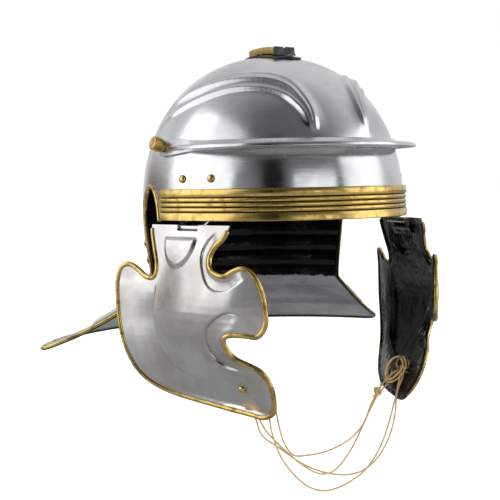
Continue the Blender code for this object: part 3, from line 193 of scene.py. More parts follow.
# Hinges and cord eyes
HINGE_PIN_RADIUS = 0.0011
HINGE_PIN_EASE = 0.0007
HINGE_KNUCKLE_LENGTH = 0.0226
HINGE_SLOT_TALL = 0.0045
HINGE_PLATE_WIDTH = 0.0340
HINGE_PLATE_TALL = 0.0400
HINGE_PLATE_SHEET = 0.0010
HINGE_PLATE_EASE = 0.0010
HINGE_SIDE_LENGTH = 0.0050
HINGE_FLAP_TALL = 0.0120
HINGE_FLAP_EASE = 0.0012
HINGE_RIVET_SPREAD = 0.0130
HINGE_RIVET_LEVEL = 0.0310
HINGE_RIVET_SLACK = 0.0018
EYE_PLACE = (0.273, 0.875)
EYE_RING = 0.0052
EYE_WIRE = 0.0009
EYE_STAND = 0.0062

# Chin cord
CORD_RADIUS = 0.0006
CORD_TWIST = 0.0042
CORD_STRANDS = 3
KNOT = (0.0440, -0.0830, -0.1360)
KNOT_RADIUS = 0.0027
KNOT_TURNS = ((0.0, 0.0), (1.1, 0.8), (2.1, 1.9))
KNOT_TAILS = (
    ((0.0012, -0.0010, 0.0030), (0.0022, -0.0014, 0.0068)),
    ((-0.0026, -0.0012, -0.0014), (-0.0060, -0.0016, -0.0036)),
)
LOOP_STAND = 0.0098
LOOP_DROP = 0.0075
LOOP_TURN = 0.6
LOOP_HALF = (0.0078, 0.0112)
LOOP_WAVE = 0.0006
LOOP_TURNS = ((1.0, 0.0), (0.86, 0.0016))
CORD_FRONT_ROUTE = (
    (0.0419, -0.0840, -0.1384), (0.0365, -0.0845, -0.1450), (0.0290, -0.0845, -0.1590),
    (0.0180, -0.0845, -0.1685), (0.0070, -0.0845, -0.1730), (-0.0060, -0.0845, -0.1760),
    (-0.0220, -0.0845, -0.1765), (-0.0350, -0.0845, -0.1745), (-0.0430, -0.0845, -0.1640),
    (-0.0470, -0.0843, -0.1510), (-0.0500, -0.0838, -0.1370), (-0.0580, -0.0828, -0.1275),
    (-0.0677, -0.0822, -0.1217), (-0.0685, -0.0801, -0.1191), (-0.0693, -0.0780, -0.1217),
    (-0.0665, -0.0762, -0.1310), (-0.0610, -0.0775, -0.1430), (-0.0540, -0.0790, -0.1560),
    (-0.0400, -0.0805, -0.1710), (-0.0240, -0.0805, -0.1850), (-0.0090, -0.0805, -0.1935),
    (0.0050, -0.0805, -0.1925), (0.0190, -0.0805, -0.1800), (0.0300, -0.0805, -0.1640),
    (0.0390, -0.0808, -0.1490), (0.0446, -0.0819, -0.1391),
)
CORD_REAR_ROUTE = (
    (0.0465, -0.0819, -0.1345), (0.0560, -0.0778, -0.1290), (0.0640, -0.0756, -0.1255),
    (0.0693, -0.0780, -0.1217), (0.0685, -0.0801, -0.1191), (0.0677, -0.0822, -0.1217),
    (0.0648, -0.0835, -0.1290), (0.0610, -0.0850, -0.1390), (0.0610, -0.0825, -0.1560),
    (0.0580, -0.0790, -0.1740), (0.0480, -0.0770, -0.1900), (0.0330, -0.0765, -0.1985),
    (0.0150, -0.0765, -0.1990), (-0.0060, -0.0765, -0.1930), (-0.0240, -0.0765, -0.1835),
    (-0.0420, -0.0763, -0.1700), (-0.0560, -0.0752, -0.1590), (-0.0600, -0.0725, -0.1460),
    (-0.0660, -0.0722, -0.1340), (-0.0714, -0.0787, -0.1217), (-0.0706, -0.0808, -0.1191),
    (-0.0698, -0.0829, -0.1217), (-0.0620, -0.0842, -0.1310), (-0.0560, -0.0845, -0.1410),
    (-0.0530, -0.0845, -0.1560), (-0.0460, -0.0845, -0.1740), (-0.0350, -0.0845, -0.1890),
    (-0.0210, -0.0845, -0.2010), (-0.0060, -0.0845, -0.2060), (0.0110, -0.0845, -0.2040),
    (0.0290, -0.0850, -0.1960), (0.0430, -0.0855, -0.1810), (0.0520, -0.0865, -0.1610),
    (0.0570, -0.0880, -0.1430), (0.0605, -0.0878, -0.1345), (0.0665, -0.0850, -0.1280),
    (0.0698, -0.0829, -0.1217), (0.0706, -0.0808, -0.1191), (0.0714, -0.0787, -0.1217),
    (0.0660, -0.0740, -0.1290), (0.0560, -0.0765, -0.1345), (0.0468, -0.0815, -0.1377),
)

# Camera of the photograph, and the studio round it
CAMERA_PLACE = Vector((-0.44681, -0.74362, 0.02684))
CAMERA_TURN = 0.520790
CAMERA_PITCH = -0.062446
CAMERA_ROLL = -0.019262
CAMERA_LENS = 76.538
SENSOR = 36.0
FLOOR_LEVEL = -0.262
FLOOR_HALF = 20.0
BACKDROP = 1.0
ROOM = 0.80
ROOM_DIM = 0.16
STRIPS = (
    # place to the right, half width, how far in front
    (-0.23, 0.13, 0.65), (0.775, 0.06, 0.35),
)
SOFTBOXES = (
    # name; degrees to the camera's right and up, as seen from the helmet; distance, width, height, brightness
    ("left_softbox", -78.0, 19.0, 1.6, 1.85, 1.8, 1.25),
    ("right_softbox", 80.0, 9.0, 1.6, 1.5, 1.6, 1.3),
    ("low_softbox", 26.0, 10.0, 1.6, 1.15, 0.50, 1.3),
    ("fill", 0.0, 20.0, 2.0, 1.6, 1.2, 1.5),
)

# Colours
BRASS = (0.62, 0.44, 0.14)
# Brown of tarnished brass, also used as painted shade in the brow band's grooves
TARNISH_AND_SHADE = (0.11, 0.07, 0.018)
BLACK_PAINT = ((0.004, 0.0045, 0.005), (0.011, 0.012, 0.013))
STROKE_ROUGHNESS = (-0.03, 0.06)

# Mesh fineness
BOWL_CELL = 0.0030
BOWL_FINE_CELL = 0.0011
CREST_REACHES = (0.0056, 0.0042)
CREASE_REACH = 0.0030
GUARD_CELL = 0.0010
RIM_REACH = 1.2
TRIM_SIDES = 14
TRIM_STEP = 0.0022
GUARD_TRIM_STEP = 0.0016
CORD_STEP = 0.0008
SHEET_MERGE = 3e-5
SAME_PLACE = 1e-6
BOWL_NORMAL_STEP = 3e-4
GUARD_NORMAL_STEP = 2e-4
BAND_STEPS = 160
PEAK_STEPS = 200
CREST_STEPS = 40
FACES_AT_ONCE = 500
SHARP_ANGLE = math.radians(40)
BAR_SHARP_ANGLE = math.radians(50)
INSIDE_FACING = -0.28

# Sizes that follow from the others
BAND_PITCH = (BAND_HEIGHT - 2 * BAND_LEDGE_HEIGHT) / BAND_RIBS
CREST_FOOT = SHEET / 2 + GAP + CREST_WALL + GAP
HINGE_ROLL = 1.55 * math.pi


def ease(share):
    share = np.clip(share, 0.0, 1.0)
    return share * share * (3.0 - 2.0 * share)


def unit(vector):
    return vector / np.linalg.norm(vector)


def directions(path):
    ahead = np.gradient(path, axis=0)
    return ahead / np.linalg.norm(ahead, axis=1, keepdims=True)


def crisp_ridge(distance, half, crest):
    """A ridge of height 1 with a narrow crest and a soft foot."""
    fall = (np.sqrt(distance ** 2 + crest ** 2) - crest) / (math.sqrt(half ** 2 + crest ** 2) - crest)
    return np.clip(1.0 - fall, 0.0, 1.0) ** RIDGE_POWER


def smooth_curve(points, per_span):
    """Points of a smooth curve that passes through every given point."""
    points = np.asarray(points, float)
    padded = np.vstack([2 * points[:1] - points[1:2], points, 2 * points[-1:] - points[-2:-1]])
    rows = []
    for span in range(len(points) - 1):
        a, b, c, d = padded[span:span + 4]
        for step in range(per_span):
            t = step / per_span
            rows.append(0.5 * (2 * b + (c - a) * t + (2 * a - 5 * b + 4 * c - d) * t * t
                               + (3 * b - a - 3 * c + d) * t ** 3))
    rows.append(points[-1])
    return np.array(rows)


def even_points(path, spacing):
    """The same path with its points at equal distances."""
    path = np.asarray(path, float)
    lengths = np.concatenate([[0.0], np.cumsum(np.linalg.norm(np.diff(path, axis=0), axis=1))])
    places = np.linspace(0.0, lengths[-1], max(2, round(lengths[-1] / spacing)))
    return np.stack([np.interp(places, lengths, path[:, axis]) for axis in range(path.shape[1])], axis=1)


def nearest_on_line(points, line, scale=1.0):
    """Distance from each point to a polyline, and the nearest place on it."""
    best = np.full(len(points), np.inf)
    spots = np.array(points, float)
    for start, end in zip(line[:-1], line[1:]):
        ahead = (points - start) * scale
        span = (end - start) * scale
        size = np.maximum(np.sum(span * span, axis=-1), 1e-12)
        share = np.clip(np.sum(ahead * span, axis=-1) / size, 0.0, 1.0)[:, None]
        gaps = np.linalg.norm(ahead - share * span, axis=1)
        closer = gaps < best
        best = np.where(closer, gaps, best)
        spots = np.where(closer[:, None], start + share * (end - start), spots)
    return best, spots


def nearest_of(points, lines, scale=1.0):
    """The same for the nearest of several polylines."""
    gaps, spots = zip(*(nearest_on_line(points, line, scale) for line in lines))
    return np.min(gaps, axis=0), np.array(spots)[np.argmin(gaps, axis=0), np.arange(len(points))]


def inside(points, outline):
    """Which 2D points lie inside a closed outline."""
    x, y = points[:, 0], points[:, 1]
    result = np.zeros(len(points), bool)
    for (x1, y1), (x2, y2) in zip(outline, np.roll(outline, -1, axis=0)):
        crosses = (y1 > y) != (y2 > y)
        with np.errstate(divide="ignore", invalid="ignore"):
            at = (x2 - x1) * (y - y1) / (y2 - y1) + x1
        result ^= crosses & (x < at)
    return result


def surface_normals(surface, places, small=1e-4):
    across = surface(places + [small, 0.0]) - surface(places - [small, 0.0])
    along = surface(places + [0.0, small]) - surface(places - [0.0, small])
    normal = np.cross(across, along)
    return normal / np.maximum(np.linalg.norm(normal, axis=-1, keepdims=True), 1e-12)


# Shapes shared with the solids

def skull_share(level):
    rise = np.clip((np.asarray(level, float) - WALL_HEIGHT) / (SKULL_HEIGHT - WALL_HEIGHT), 0.0, 1.0)
    return (1.0 - rise ** RISE_POWER) ** (1.0 / SPREAD_POWER)


def helmet_base(turn, run):
    """The plain sheet: run is 0 at the crown, 1 at the wall, 2 at the end of the nape, 3 at the brim."""
    angle = (1.0 - np.clip(run, 0.0, 1.0)) * (math.pi / 2)
    down = np.clip(run - 1.0, 0.0, 1.0)
    out = np.clip(run - 2.0, 0.0, 1.2)
    wide = np.cos(angle) ** (2.0 / SPREAD_POWER) * (1.0 - (1.0 - NAPE_TAPER) * ease(down))
    rise = np.sin(angle) ** (2.0 / RISE_POWER)
    x = SKULL_HALF_WIDTH * wide * np.sin(turn)
    y = -SKULL_HALF_LENGTH * wide * np.cos(turn)
    z = WALL_HEIGHT + rise * (SKULL_HEIGHT - WALL_HEIGHT) - down * (WALL_HEIGHT + NAPE_DROP)
    x = x + (BRIM_REACH * np.sin(turn) - x) * out
    y = y + (-BRIM_REACH * np.cos(turn) - y) * out
    z = z - BRIM_DROP * (out + BRIM_DISH * np.sin(math.pi * np.clip(out, 0.0, 1.0)))
    return np.stack([x, y, z], axis=-1)


PATTERN_ENDS = np.cumsum([0.0, SKULL_RUN, WALL_HEIGHT + NAPE_DROP, BRIM_REACH - SKULL_HALF_WIDTH])


def to_flat(turn, run):
    length = np.interp(run, range(len(PATTERN_ENDS)), PATTERN_ENDS)
    return np.stack([np.asarray(turn, float) * SKULL_HALF_LENGTH + 0.0 * length, length], axis=-1)


def from_flat(places):
    run = np.interp(places[..., 1], PATTERN_ENDS, range(len(PATTERN_ENDS)))
    beyond = np.maximum(places[..., 1] - PATTERN_ENDS[-1], 0.0) / (PATTERN_ENDS[-1] - PATTERN_ENDS[-2])
    return places[..., 0] / SKULL_HALF_LENGTH, run + beyond


def level_to_run(level):
    level = np.asarray(level, float)
    rise = np.clip((level - WALL_HEIGHT) / (SKULL_HEIGHT - WALL_HEIGHT), 0.0, 1.0)
    down = np.clip((WALL_HEIGHT - level) / (WALL_HEIGHT + NAPE_DROP), 0.0, 1.0)
    up = 1.0 - np.arcsin(rise ** (RISE_POWER / 2.0)) / (math.pi / 2)
    return np.where(level >= WALL_HEIGHT, up, 1.0 + down)


def side_to_flat(y, level):
    """Flat place on the left half of the sheet, from its place in the side view."""
    run = level_to_run(level)
    wide = skull_share(level) * (1.0 - (1.0 - NAPE_TAPER) * ease(run - 1.0))
    turn = np.arccos(np.clip(-np.asarray(y, float) / (SKULL_HALF_LENGTH * wide), -1.0, 1.0))
    return to_flat(turn, run)


def brow_lines():
    rows = smooth_curve(BROW_ROWS, 4)
    lines = []
    for number in range(BROW_RIDGES):
        share = number / (BROW_RIDGES - 1)
        turn = np.radians(rows[:, 0] * (1 - share) + rows[:, 2] * share)
        lift = rows[:, 1] * (1 - share) + rows[:, 3] * share
        lines.append(to_flat(-turn, 1.0 - lift / 90.0))
    return lines


BROW_LINES = brow_lines()


def brow_squeeze(places):
    """Scale of the flat pattern round and down at each place, so that ridges keep their width."""
    _, run = from_flat(places)
    width = np.cos((1 - np.clip(run, 0, 1)) * math.pi / 2) ** (2 / SPREAD_POWER)
    return np.stack([np.maximum(width, 0.2), np.ones(len(places))], axis=1)


def on_right(places):
    return np.stack([-np.abs(places[:, 0]), places[:, 1]], axis=1)


def helmet_relief(places):
    """Height of the embossing above the plain sheet at each flat place."""
    turn, run = from_flat(places)
    squeeze = brow_squeeze(places)
    near = [nearest_on_line(on_right(places), line, squeeze)[0] for line in BROW_LINES]
    ridges = np.array([crisp_ridge(gap, BROW_RIDGE_HALF, BROW_RIDGE_CREST) for gap in near])
    lift = (1.0 - run) * 90.0
    height = BROW_RIDGE_HEIGHT * np.sum(ridges ** 3, axis=0) ** (1 / 3)
    behind = (np.degrees(np.abs(turn)) - BROW_REAR_START) / BROW_REAR_FADE
    height = height * ease((lift - BROW_RIDGE_START) / BROW_RIDGE_FADE) * (1.0 - ease(behind))
    middle = np.clip(near[BROW_RIDGES // 2] / BROW_SWELL_HALF, 0.0, 1.0)
    swell = BROW_SWELL_HEIGHT * (0.5 + 0.5 * np.cos(math.pi * middle))
    swell = swell * ease((lift - BROW_SWELL_START) / BROW_SWELL_FADE)
    height = height + swell * (1.0 - ease(behind - BROW_SWELL_LATE))
    down = np.clip(run - 1.0, 0.0, 1.0)
    for rib in NAPE_RIBS:
        gap = (down - rib) * (WALL_HEIGHT + NAPE_DROP)
        height = height + NAPE_RIB_HEIGHT * crisp_ridge(gap, NAPE_RIB_HALF, NAPE_RIB_CREST)
    start, end = BRIM_STEP
    step = ease((run - 2.0 - start) / BRIM_STEP_SLOPE) * (1 - ease((run - 2.0 - end) / BRIM_STEP_SLOPE))
    return height + BRIM_STEP_HEIGHT * step


def helmet_plain(places):
    return helmet_base(*from_flat(places))


def helmet_surface(places):
    """The middle of the sheet with its embossing."""
    return helmet_plain(places) - surface_normals(helmet_plain, places) * helmet_relief(places)[:, None]


def edge_line():
    """Middle of the brass edge trim on the left half, from the ear round to the rear centre."""
    middle = (EAR_FRONT + EAR_BACK) / 2
    half = (EAR_BACK - EAR_FRONT) / 2
    angles = np.linspace(math.pi, 0.0, 40)
    arch = side_to_flat(middle + half * np.cos(angles), EAR_TOP * np.sin(angles))
    nape = side_to_flat(np.full(16, EAR_BACK), np.linspace(0.0, -NAPE_DROP, 17)[1:])
    corner = to_flat(BRIM_TIP_TURN, 3.0)
    fold = nape[-1]
    ahead = corner - fold
    before = corner - ahead * (BRIM_CORNER / np.linalg.norm(ahead))
    after = corner + np.array([BRIM_CORNER * SKULL_HALF_LENGTH / BRIM_REACH, 0.0])
    front = np.linspace(fold, before, 24)[1:]
    shares = np.linspace(0.0, 1.0, 14)[1:, None]
    bend = (1 - shares) ** 2 * before + 2 * shares * (1 - shares) * corner + shares ** 2 * after
    rear = np.linspace(bend[-1], to_flat(math.pi, 3.0), 60)[1:]
    return np.vstack([arch, nape, front, bend, rear])


def guard_plain(places):
    """The cheek guard's sheet on the left side, from places in the side view: y and z."""
    y, z = places[..., 0], places[..., 1]
    rows = smooth_curve(GUARD_ROWS, 6)
    down = np.clip((-z - GUARD_TOP) / (GUARD_DROP - GUARD_TOP), -0.2, 1.2)
    out = np.interp(down, rows[:, 0], rows[:, 1]) * GUARD_DROP
    turn, bow, curl = (np.interp(down, rows[:, 0], rows[:, column]) for column in (2, 3, 4))
    back = (y - GUARD_MIDDLE_Y) / GUARD_LENGTH
    bend = (turn * back + bow * 4 * back ** 2 + curl * 8 * back ** 3) * GUARD_LENGTH
    return np.stack([GUARD_OUT + out + bend, y, z], axis=-1)


def guard_place(ahead, down):
    return np.array([GUARD_MIDDLE_Y - ahead * GUARD_LENGTH, -down * GUARD_DROP])


def guard_line(spots, per_span):
    return smooth_curve([guard_place(*spot) for spot in spots], per_span)


GUARD_EDGE_LINE = guard_line(GUARD_EDGE, 6)
CREASE_LINES = [guard_line(crease, 8) for crease in GUARD_CREASES]


def guard_relief(places):
    """Embossing of the cheek guard: a half-round boss near the hinge and three creases."""
    middle = guard_place(*GUARD_BOSS)
    across = (places[:, 0] - middle[0]) / GUARD_BOSS_HALF
    below = (middle[1] - places[:, 1]) / GUARD_BOSS_TALL
    round_edge = (1.0 - np.hypot(across, np.maximum(below, 0.0))) * GUARD_BOSS_HALF
    within = np.minimum(round_edge, middle[1] - places[:, 1] + GUARD_BOSS_SLOPE)
    height = GUARD_BOSS_HEIGHT * ease(within / GUARD_BOSS_SLOPE)
    for line, (side, depth, reach, end) in zip(CREASE_LINES, GUARD_FLUTES):
        gap, spots = nearest_on_line(places, line)
        close = np.linalg.norm(line[None] - spots[:, None], axis=2).argmin(axis=1).clip(1, len(line) - 2)
        along = line[close + 1] - line[close - 1]
        off = places - spots
        margin = (along[:, 0] * off[:, 1] - along[:, 1] * off[:, 0]) * side > 0
        flute = 1.0 - np.clip(gap / reach, 0.0, 1.0) ** 2
        wall = 1.0 - ease(gap / GUARD_CREASE_WALL)
        ends = np.minimum(np.linalg.norm(spots - line[0], axis=1), np.linalg.norm(spots - line[-1], axis=1))
        height = height - depth * ease(ends / end) * np.where(margin, flute, wall)
    from_edge = nearest_on_line(places, GUARD_EDGE_LINE)[0] - GUARD_TRIM_RADIUS * GUARD_RIM_COVER
    from_eye = np.linalg.norm(places - guard_place(*EYE_PLACE), axis=1) - RIVET_HEAD
    return height * ease(from_edge / GUARD_RIM_FLAT) * ease(from_eye / GUARD_RIM_FLAT)


def guard_surface(places):
    return guard_plain(places) + surface_normals(guard_plain, places) * guard_relief(places)[:, None]


def mirrored(points, side):
    return np.asarray(points, float) * [side, 1.0, 1.0]


def hinge_line():
    """Point and direction of the left hinge pin, and the direction out of the guard."""
    place = np.array([[GUARD_HINGE_Y, -GUARD_TOP - HINGE_SLOT_TALL / 2]])
    normal = unit(surface_normals(guard_plain, place)[0] * [1.0, 1.0, 0.0])
    inward = SHEET / 2 + HINGE_PIN_EASE + HINGE_PLATE_SHEET + HINGE_PIN_RADIUS + GAP
    return guard_plain(place)[0] - normal * inward, np.array([-normal[1], normal[0], 0.0]), normal


HINGE_POINT, HINGE_AXIS, HINGE_OUT = hinge_line()
EYE_OUT = surface_normals(guard_plain, guard_place(*EYE_PLACE)[None])[0]
EYE_SPOT = guard_surface(guard_place(*EYE_PLACE)[None])[0]


def wall_point(turn, out, level):
    """A point outside the skull wall at one turn, height and distance."""
    normal = unit(np.array([math.sin(turn) / SKULL_HALF_WIDTH, -math.cos(turn) / SKULL_HALF_LENGTH, 0.0]))
    wide = float(skull_share(level))
    x, y = SKULL_HALF_WIDTH * wide * math.sin(turn), -SKULL_HALF_LENGTH * wide * math.cos(turn)
    return np.array([x, y, level]) + normal * (SHEET / 2 + GAP + out)


def skull_frame(side, y, level, outside):
    """Point outside the skull at a place in the side view, and the direction out of it."""
    place = side_to_flat(y, level)[None] * [side, 1.0]
    normal = -surface_normals(helmet_plain, place)[0]
    return Vector(helmet_surface(place)[0] + normal * outside), Vector(normal)


def crown_point(x, y, outside):
    """Point over the plan near the crown, at a distance outside the sheet, and the direction out."""
    def sheet(spots):
        wide = (spots[..., 0] / SKULL_HALF_WIDTH) ** 2 + (spots[..., 1] / SKULL_HALF_LENGTH) ** 2
        rise = (1.0 - np.sqrt(wide) ** SPREAD_POWER) ** (1.0 / RISE_POWER)
        height = WALL_HEIGHT + rise * (SKULL_HEIGHT - WALL_HEIGHT)
        return np.stack([spots[..., 0], spots[..., 1], height], axis=-1)

    spots = np.stack([np.atleast_1d(x), np.atleast_1d(y)], axis=-1).astype(float)
    normals = surface_normals(sheet, spots)
    return sheet(spots) + normals * outside, normals


def placed(origin, x, y, z):
    return Matrix.Translation(origin) @ Matrix((x, y, z)).transposed().to_4x4()


def frame_at(origin, out):
    """A place whose Z points out and whose X lies level."""
    z = Vector(out).normalized()
    x = Vector((0.0, 0.0, 1.0)).cross(z)
    if x.length < 1e-4:
        x = Vector((1.0, 0.0, 0.0)).cross(z)
    x.normalize()
    return placed(origin, x, z.cross(x), z)


# Mesh making

def grid_sheet(columns, rows):
    """A flat grid from 0 to 1 both ways."""
    work = bmesh.new()
    bmesh.ops.create_grid(work, x_segments=columns, y_segments=rows, size=0.5)
    bmesh.ops.translate(work, verts=work.verts, vec=(0.5, 0.5, 0.0))
    return work


def flat_places(work):
    return np.array([vert.co[:2] for vert in work.verts])


def face_middles(work):
    return np.array([face.calc_center_median()[:] for face in work.faces])


def cut_to_outline(work, outline, reach):
    """Keeps the cells of a flat grid inside an outline and draws its ragged rim onto the outline."""
    kept = inside(face_middles(work)[:, :2], outline)
    bmesh.ops.delete(work, geom=[face for face, keep in zip(work.faces[:], kept) if not keep], context="FACES")
    rim = [vert for vert in work.verts if vert.is_boundary]
    places = np.array([vert.co[:2] for vert in rim])
    gaps, spots = nearest_on_line(places, np.vstack([outline, outline[:1]]))
    for vert, gap, spot in zip(rim, gaps, spots):
        if gap < reach:
            vert.co = (*spot, 0.0)
    bmesh.ops.dissolve_degenerate(work, dist=reach * 0.02, edges=work.edges)


def give_thickness(work, middle, normal, thickness=SHEET):
    """Turns a formed sheet into a closed wall: an outer face, an inner face of material 1 and a rim."""
    outer = middle + normal * thickness / 2
    inner = middle - normal * thickness / 2
    index = work.verts.layers.int.new("place")
    for number, vert in enumerate(work.verts):
        vert[index] = number
        vert.co = inner[number]
    bmesh.ops.remove_doubles(work, verts=work.verts, dist=SHEET_MERGE)
    first = work.faces[:]
    for item in bmesh.ops.extrude_face_region(work, geom=first, use_keep_orig=True)["geom"]:
        if isinstance(item, bmesh.types.BMVert):
            item.co = outer[item[index]]
    bmesh.ops.reverse_faces(work, faces=first)
    for face in first:
        face.material_index = 1


def painted(work):
    for face in work.faces:
        face.material_index = 1
    return work


def joined(works):
    """The first closed mesh with the others added to it."""
    first, *others = works
    for other in others:
        spare = bpy.data.meshes.new("spare")
        other.to_mesh(spare)
        other.free()
        first.from_mesh(spare)
        bpy.data.meshes.remove(spare)
    return first


def linked(name, data):
    item = bpy.data.objects.new(name, data)
    bpy.context.scene.collection.objects.link(item)
    return item


def as_piece(name, data, node):
    item = linked(name, data)
    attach(item, "root")
    if node:
        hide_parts(node)
    return item


def finish_mesh(name, work, looks, node=None, sharp=SHARP_ANGLE):
    mesh = bpy.data.meshes.new(name)
    work.to_mesh(mesh)
    work.free()
    mesh.shade_smooth()
    mesh.set_sharp_from_angle(angle=sharp)
    for look in looks:
        mesh.materials.append(LOOKS[look])
    return as_piece(name, mesh, node)


def loft(rings):
    """A solid through closed rings of equal count, from a grid rolled into a tube."""
    rings = np.asarray(rings, float)
    rows, count = rings.shape[:2]
    work = grid_sheet(count, rows - 1)
    places = flat_places(work)
    across = np.rint(places[:, 0] * count).astype(int) % count
    along = np.rint(places[:, 1] * (rows - 1)).astype(int)
    for vert, point in zip(work.verts, rings[along, across]):
        vert.co = point
    bmesh.ops.remove_doubles(work, verts=work.verts, dist=SAME_PLACE)
    bmesh.ops.holes_fill(work, edges=[edge for edge in work.edges if edge.is_boundary], sides=0)
    bmesh.ops.recalc_face_normals(work, faces=work.faces)
    return work


def tube_rings(path, radius, sides):
    """Round rings along a path, turned as little as can be, and closed in at the ends."""
    path = np.asarray(path, float)
    direction = directions(path)
    side = np.cross(direction[0], [0.3, 0.2, 1.0])
    rings = []
    angles = np.linspace(0.0, 2 * math.pi, sides, endpoint=False)
    for point, ahead in zip(path, direction):
        side = unit(side - ahead * (side @ ahead))
        up = np.cross(ahead, side)
        rings.append(point + radius * (np.outer(np.cos(angles), side) + np.outer(np.sin(angles), up)))
    first, last = ([path[end] + (rings[end] - path[end]) * share + outward * radius * rise
                    for share, rise in ((0.92, 0.25), (0.7, 0.45), (0.35, 0.55))]
                   for end, outward in ((0, -direction[0]), (-1, direction[-1])))
    return [*first[::-1], *rings, *last]


def spun(work, geom, matrix, steps):
    """Spins a profile about Z into a closed piece and puts it in place."""
    bmesh.ops.spin(work, geom=geom, cent=(0, 0, 0), axis=(0, 0, 1), angle=2 * math.pi, steps=steps,
                   use_merge=True)
    bmesh.ops.remove_doubles(work, verts=work.verts, dist=SAME_PLACE)
    bmesh.ops.recalc_face_normals(work, faces=work.faces)
    bmesh.ops.transform(work, matrix=matrix, verts=work.verts)
    return work


def turned_piece(profile, matrix, steps=36):
    work = bmesh.new()
    verts = [work.verts.new((radius, 0.0, height)) for radius, height in profile]
    edges = [work.edges.new(pair) for pair in zip(verts[:-1], verts[1:])]
    return spun(work, [*verts, *edges], matrix, steps)


def rounded(points, radius, steps=4):
    """A closed outline with its corners rounded."""
    points = np.asarray(points, float)
    made = []
    for before, corner, after in zip(np.roll(points, 1, axis=0), points, np.roll(points, -1, axis=0)):
        first = before - corner
        second = after - corner
        reach = min(radius, np.linalg.norm(first) * 0.45, np.linalg.norm(second) * 0.45)
        start = corner + first / np.linalg.norm(first) * reach
        end = corner + second / np.linalg.norm(second) * reach
        for share in np.linspace(0.0, 1.0, steps):
            made.append((1 - share) ** 2 * start + 2 * share * (1 - share) * corner + share ** 2 * end)
    return np.array(made)


# Materials

def add_node(tree, kind, values, **settings):
    made = tree.nodes.new("ShaderNode" + kind)
    for key, value in settings.items():
        setattr(made, key, value)
    for key, value in values.items():
        if isinstance(value, bpy.types.NodeSocket):
            tree.links.new(value, made.inputs[key])
        else:
            made.inputs[key].default_value = value
    return made


def mixed(tree, factor, first, second):
    """A colour between two, by a mask."""
    ends = [end if isinstance(end, bpy.types.NodeSocket) else (*end, 1.0) for end in (first, second)]
    return add_node(tree, "Mix", {6: ends[0], 7: ends[1], 0: factor}, data_type="RGBA").outputs[2]


def ranged(tree, value, low, high, start=0.0, end=1.0, way="LINEAR"):
    values = {"Value": value, "From Min": start, "From Max": end, "To Min": low, "To Max": high}
    return add_node(tree, "MapRange", values, interpolation_type=way).outputs["Result"]


def added(tree, first, second, operation="ADD"):
    return add_node(tree, "Math", {0: first, 1: second}, operation=operation).outputs[0]


def times(tree, first, second):
    return added(tree, first, second, "MULTIPLY")


def object_place(tree):
    return add_node(tree, "TexCoord", {}).outputs["Object"]


def object_level(tree):
    return add_node(tree, "SeparateXYZ", {0: object_place(tree)}).outputs["Z"]


def new_group(name, inputs):
    """A shader node group with number or vector inputs and one mask as its output."""
    group = bpy.data.node_groups.new(name, "ShaderNodeTree")
    for label, value in inputs.items():
        kind = "NodeSocketVector" if isinstance(value, tuple) else "NodeSocketFloat"
        group.interface.new_socket(label, in_out="INPUT", socket_type=kind).default_value = value
    group.interface.new_socket("Mask", in_out="OUTPUT", socket_type="NodeSocketFloat")
    return group, group.nodes.new("NodeGroupInput").outputs, group.nodes.new("NodeGroupOutput").inputs[0]


def polishing_lines():
    """Fine strokes left by polishing, drawn out along one direction."""
    group, given, put = new_group("polishing_lines", {"Spacing": (60.0, 60.0, 900.0), "Contrast": 0.25})
    drawn = add_node(group, "VectorMath", {0: object_place(group), 1: given["Spacing"]}, operation="MULTIPLY")
    noise = add_node(group, "TexNoise", {"Vector": drawn.outputs[0], "Scale": 1.0, "Detail": 4.0,
                                         "Roughness": 0.62})
    low, high = (added(group, 0.5, given["Contrast"], way) for way in ("SUBTRACT", "ADD"))
    group.links.new(ranged(group, noise.outputs["Fac"], 0.0, 1.0, low, high), put)
    return group


def cloudy_patches():
    """Broad soft patches, as handling and hammer work leave."""
    group, given, put = new_group("cloudy_patches", {"Size": 30.0, "Low": 0.35, "High": 0.65, "Detail": 3.0})
    noise = add_node(group, "TexNoise", {"Vector": object_place(group), "Scale": given["Size"],
                                         "Detail": given["Detail"], "Distortion": 0.3})
    clouds = ranged(group, noise.outputs["Fac"], 0.0, 1.0, given["Low"], given["High"], "SMOOTHSTEP")
    group.links.new(clouds, put)
    return group


STROKES = polishing_lines()
PATCHES = cloudy_patches()


def brushed(tree, spacing, contrast=0.25):
    return add_node(tree, "Group", {"Spacing": spacing, "Contrast": contrast}, node_tree=STROKES).outputs[0]


def cloudy(tree, size, low=0.35, high=0.65, detail=3.0):
    values = {"Size": size, "Low": low, "High": high, "Detail": detail}
    return add_node(tree, "Group", values, node_tree=PATCHES).outputs[0]


def new_look(name, metallic, **constants):
    made = bpy.data.materials.new(name)
    made.use_nodes = True
    inputs = made.node_tree.nodes["Principled BSDF"].inputs
    for key, value in {"Metallic": metallic, **constants}.items():
        inputs[key.replace("_", " ")].default_value = value
    return made, made.node_tree, inputs


def wire(tree, inputs, colour, rough, height, strength, distance):
    """Links a look's colour, roughness and bump."""
    bump = add_node(tree, "Bump", {"Height": height, "Strength": strength, "Distance": distance})
    for label, value in (("Base Color", colour), ("Roughness", rough), ("Normal", bump.outputs["Normal"])):
        tree.links.new(value, inputs[label])


def steel_look(name, spacing, bright=(0.62, 0.63, 0.65), dull=(0.50, 0.505, 0.52), smooth=0.13, rough=0.24):
    """Polished bare steel with fine strokes and slightly duller patches."""
    made, tree, inputs = new_look(name, 1.0)
    strokes = brushed(tree, spacing, 0.22)
    patches = cloudy(tree, 26.0, 0.36, 0.66)
    roughness = added(tree, ranged(tree, patches, smooth, rough), ranged(tree, strokes, *STROKE_ROUGHNESS))
    wire(tree, inputs, mixed(tree, patches, bright, dull), roughness, strokes, 0.06, 0.0002)
    return made


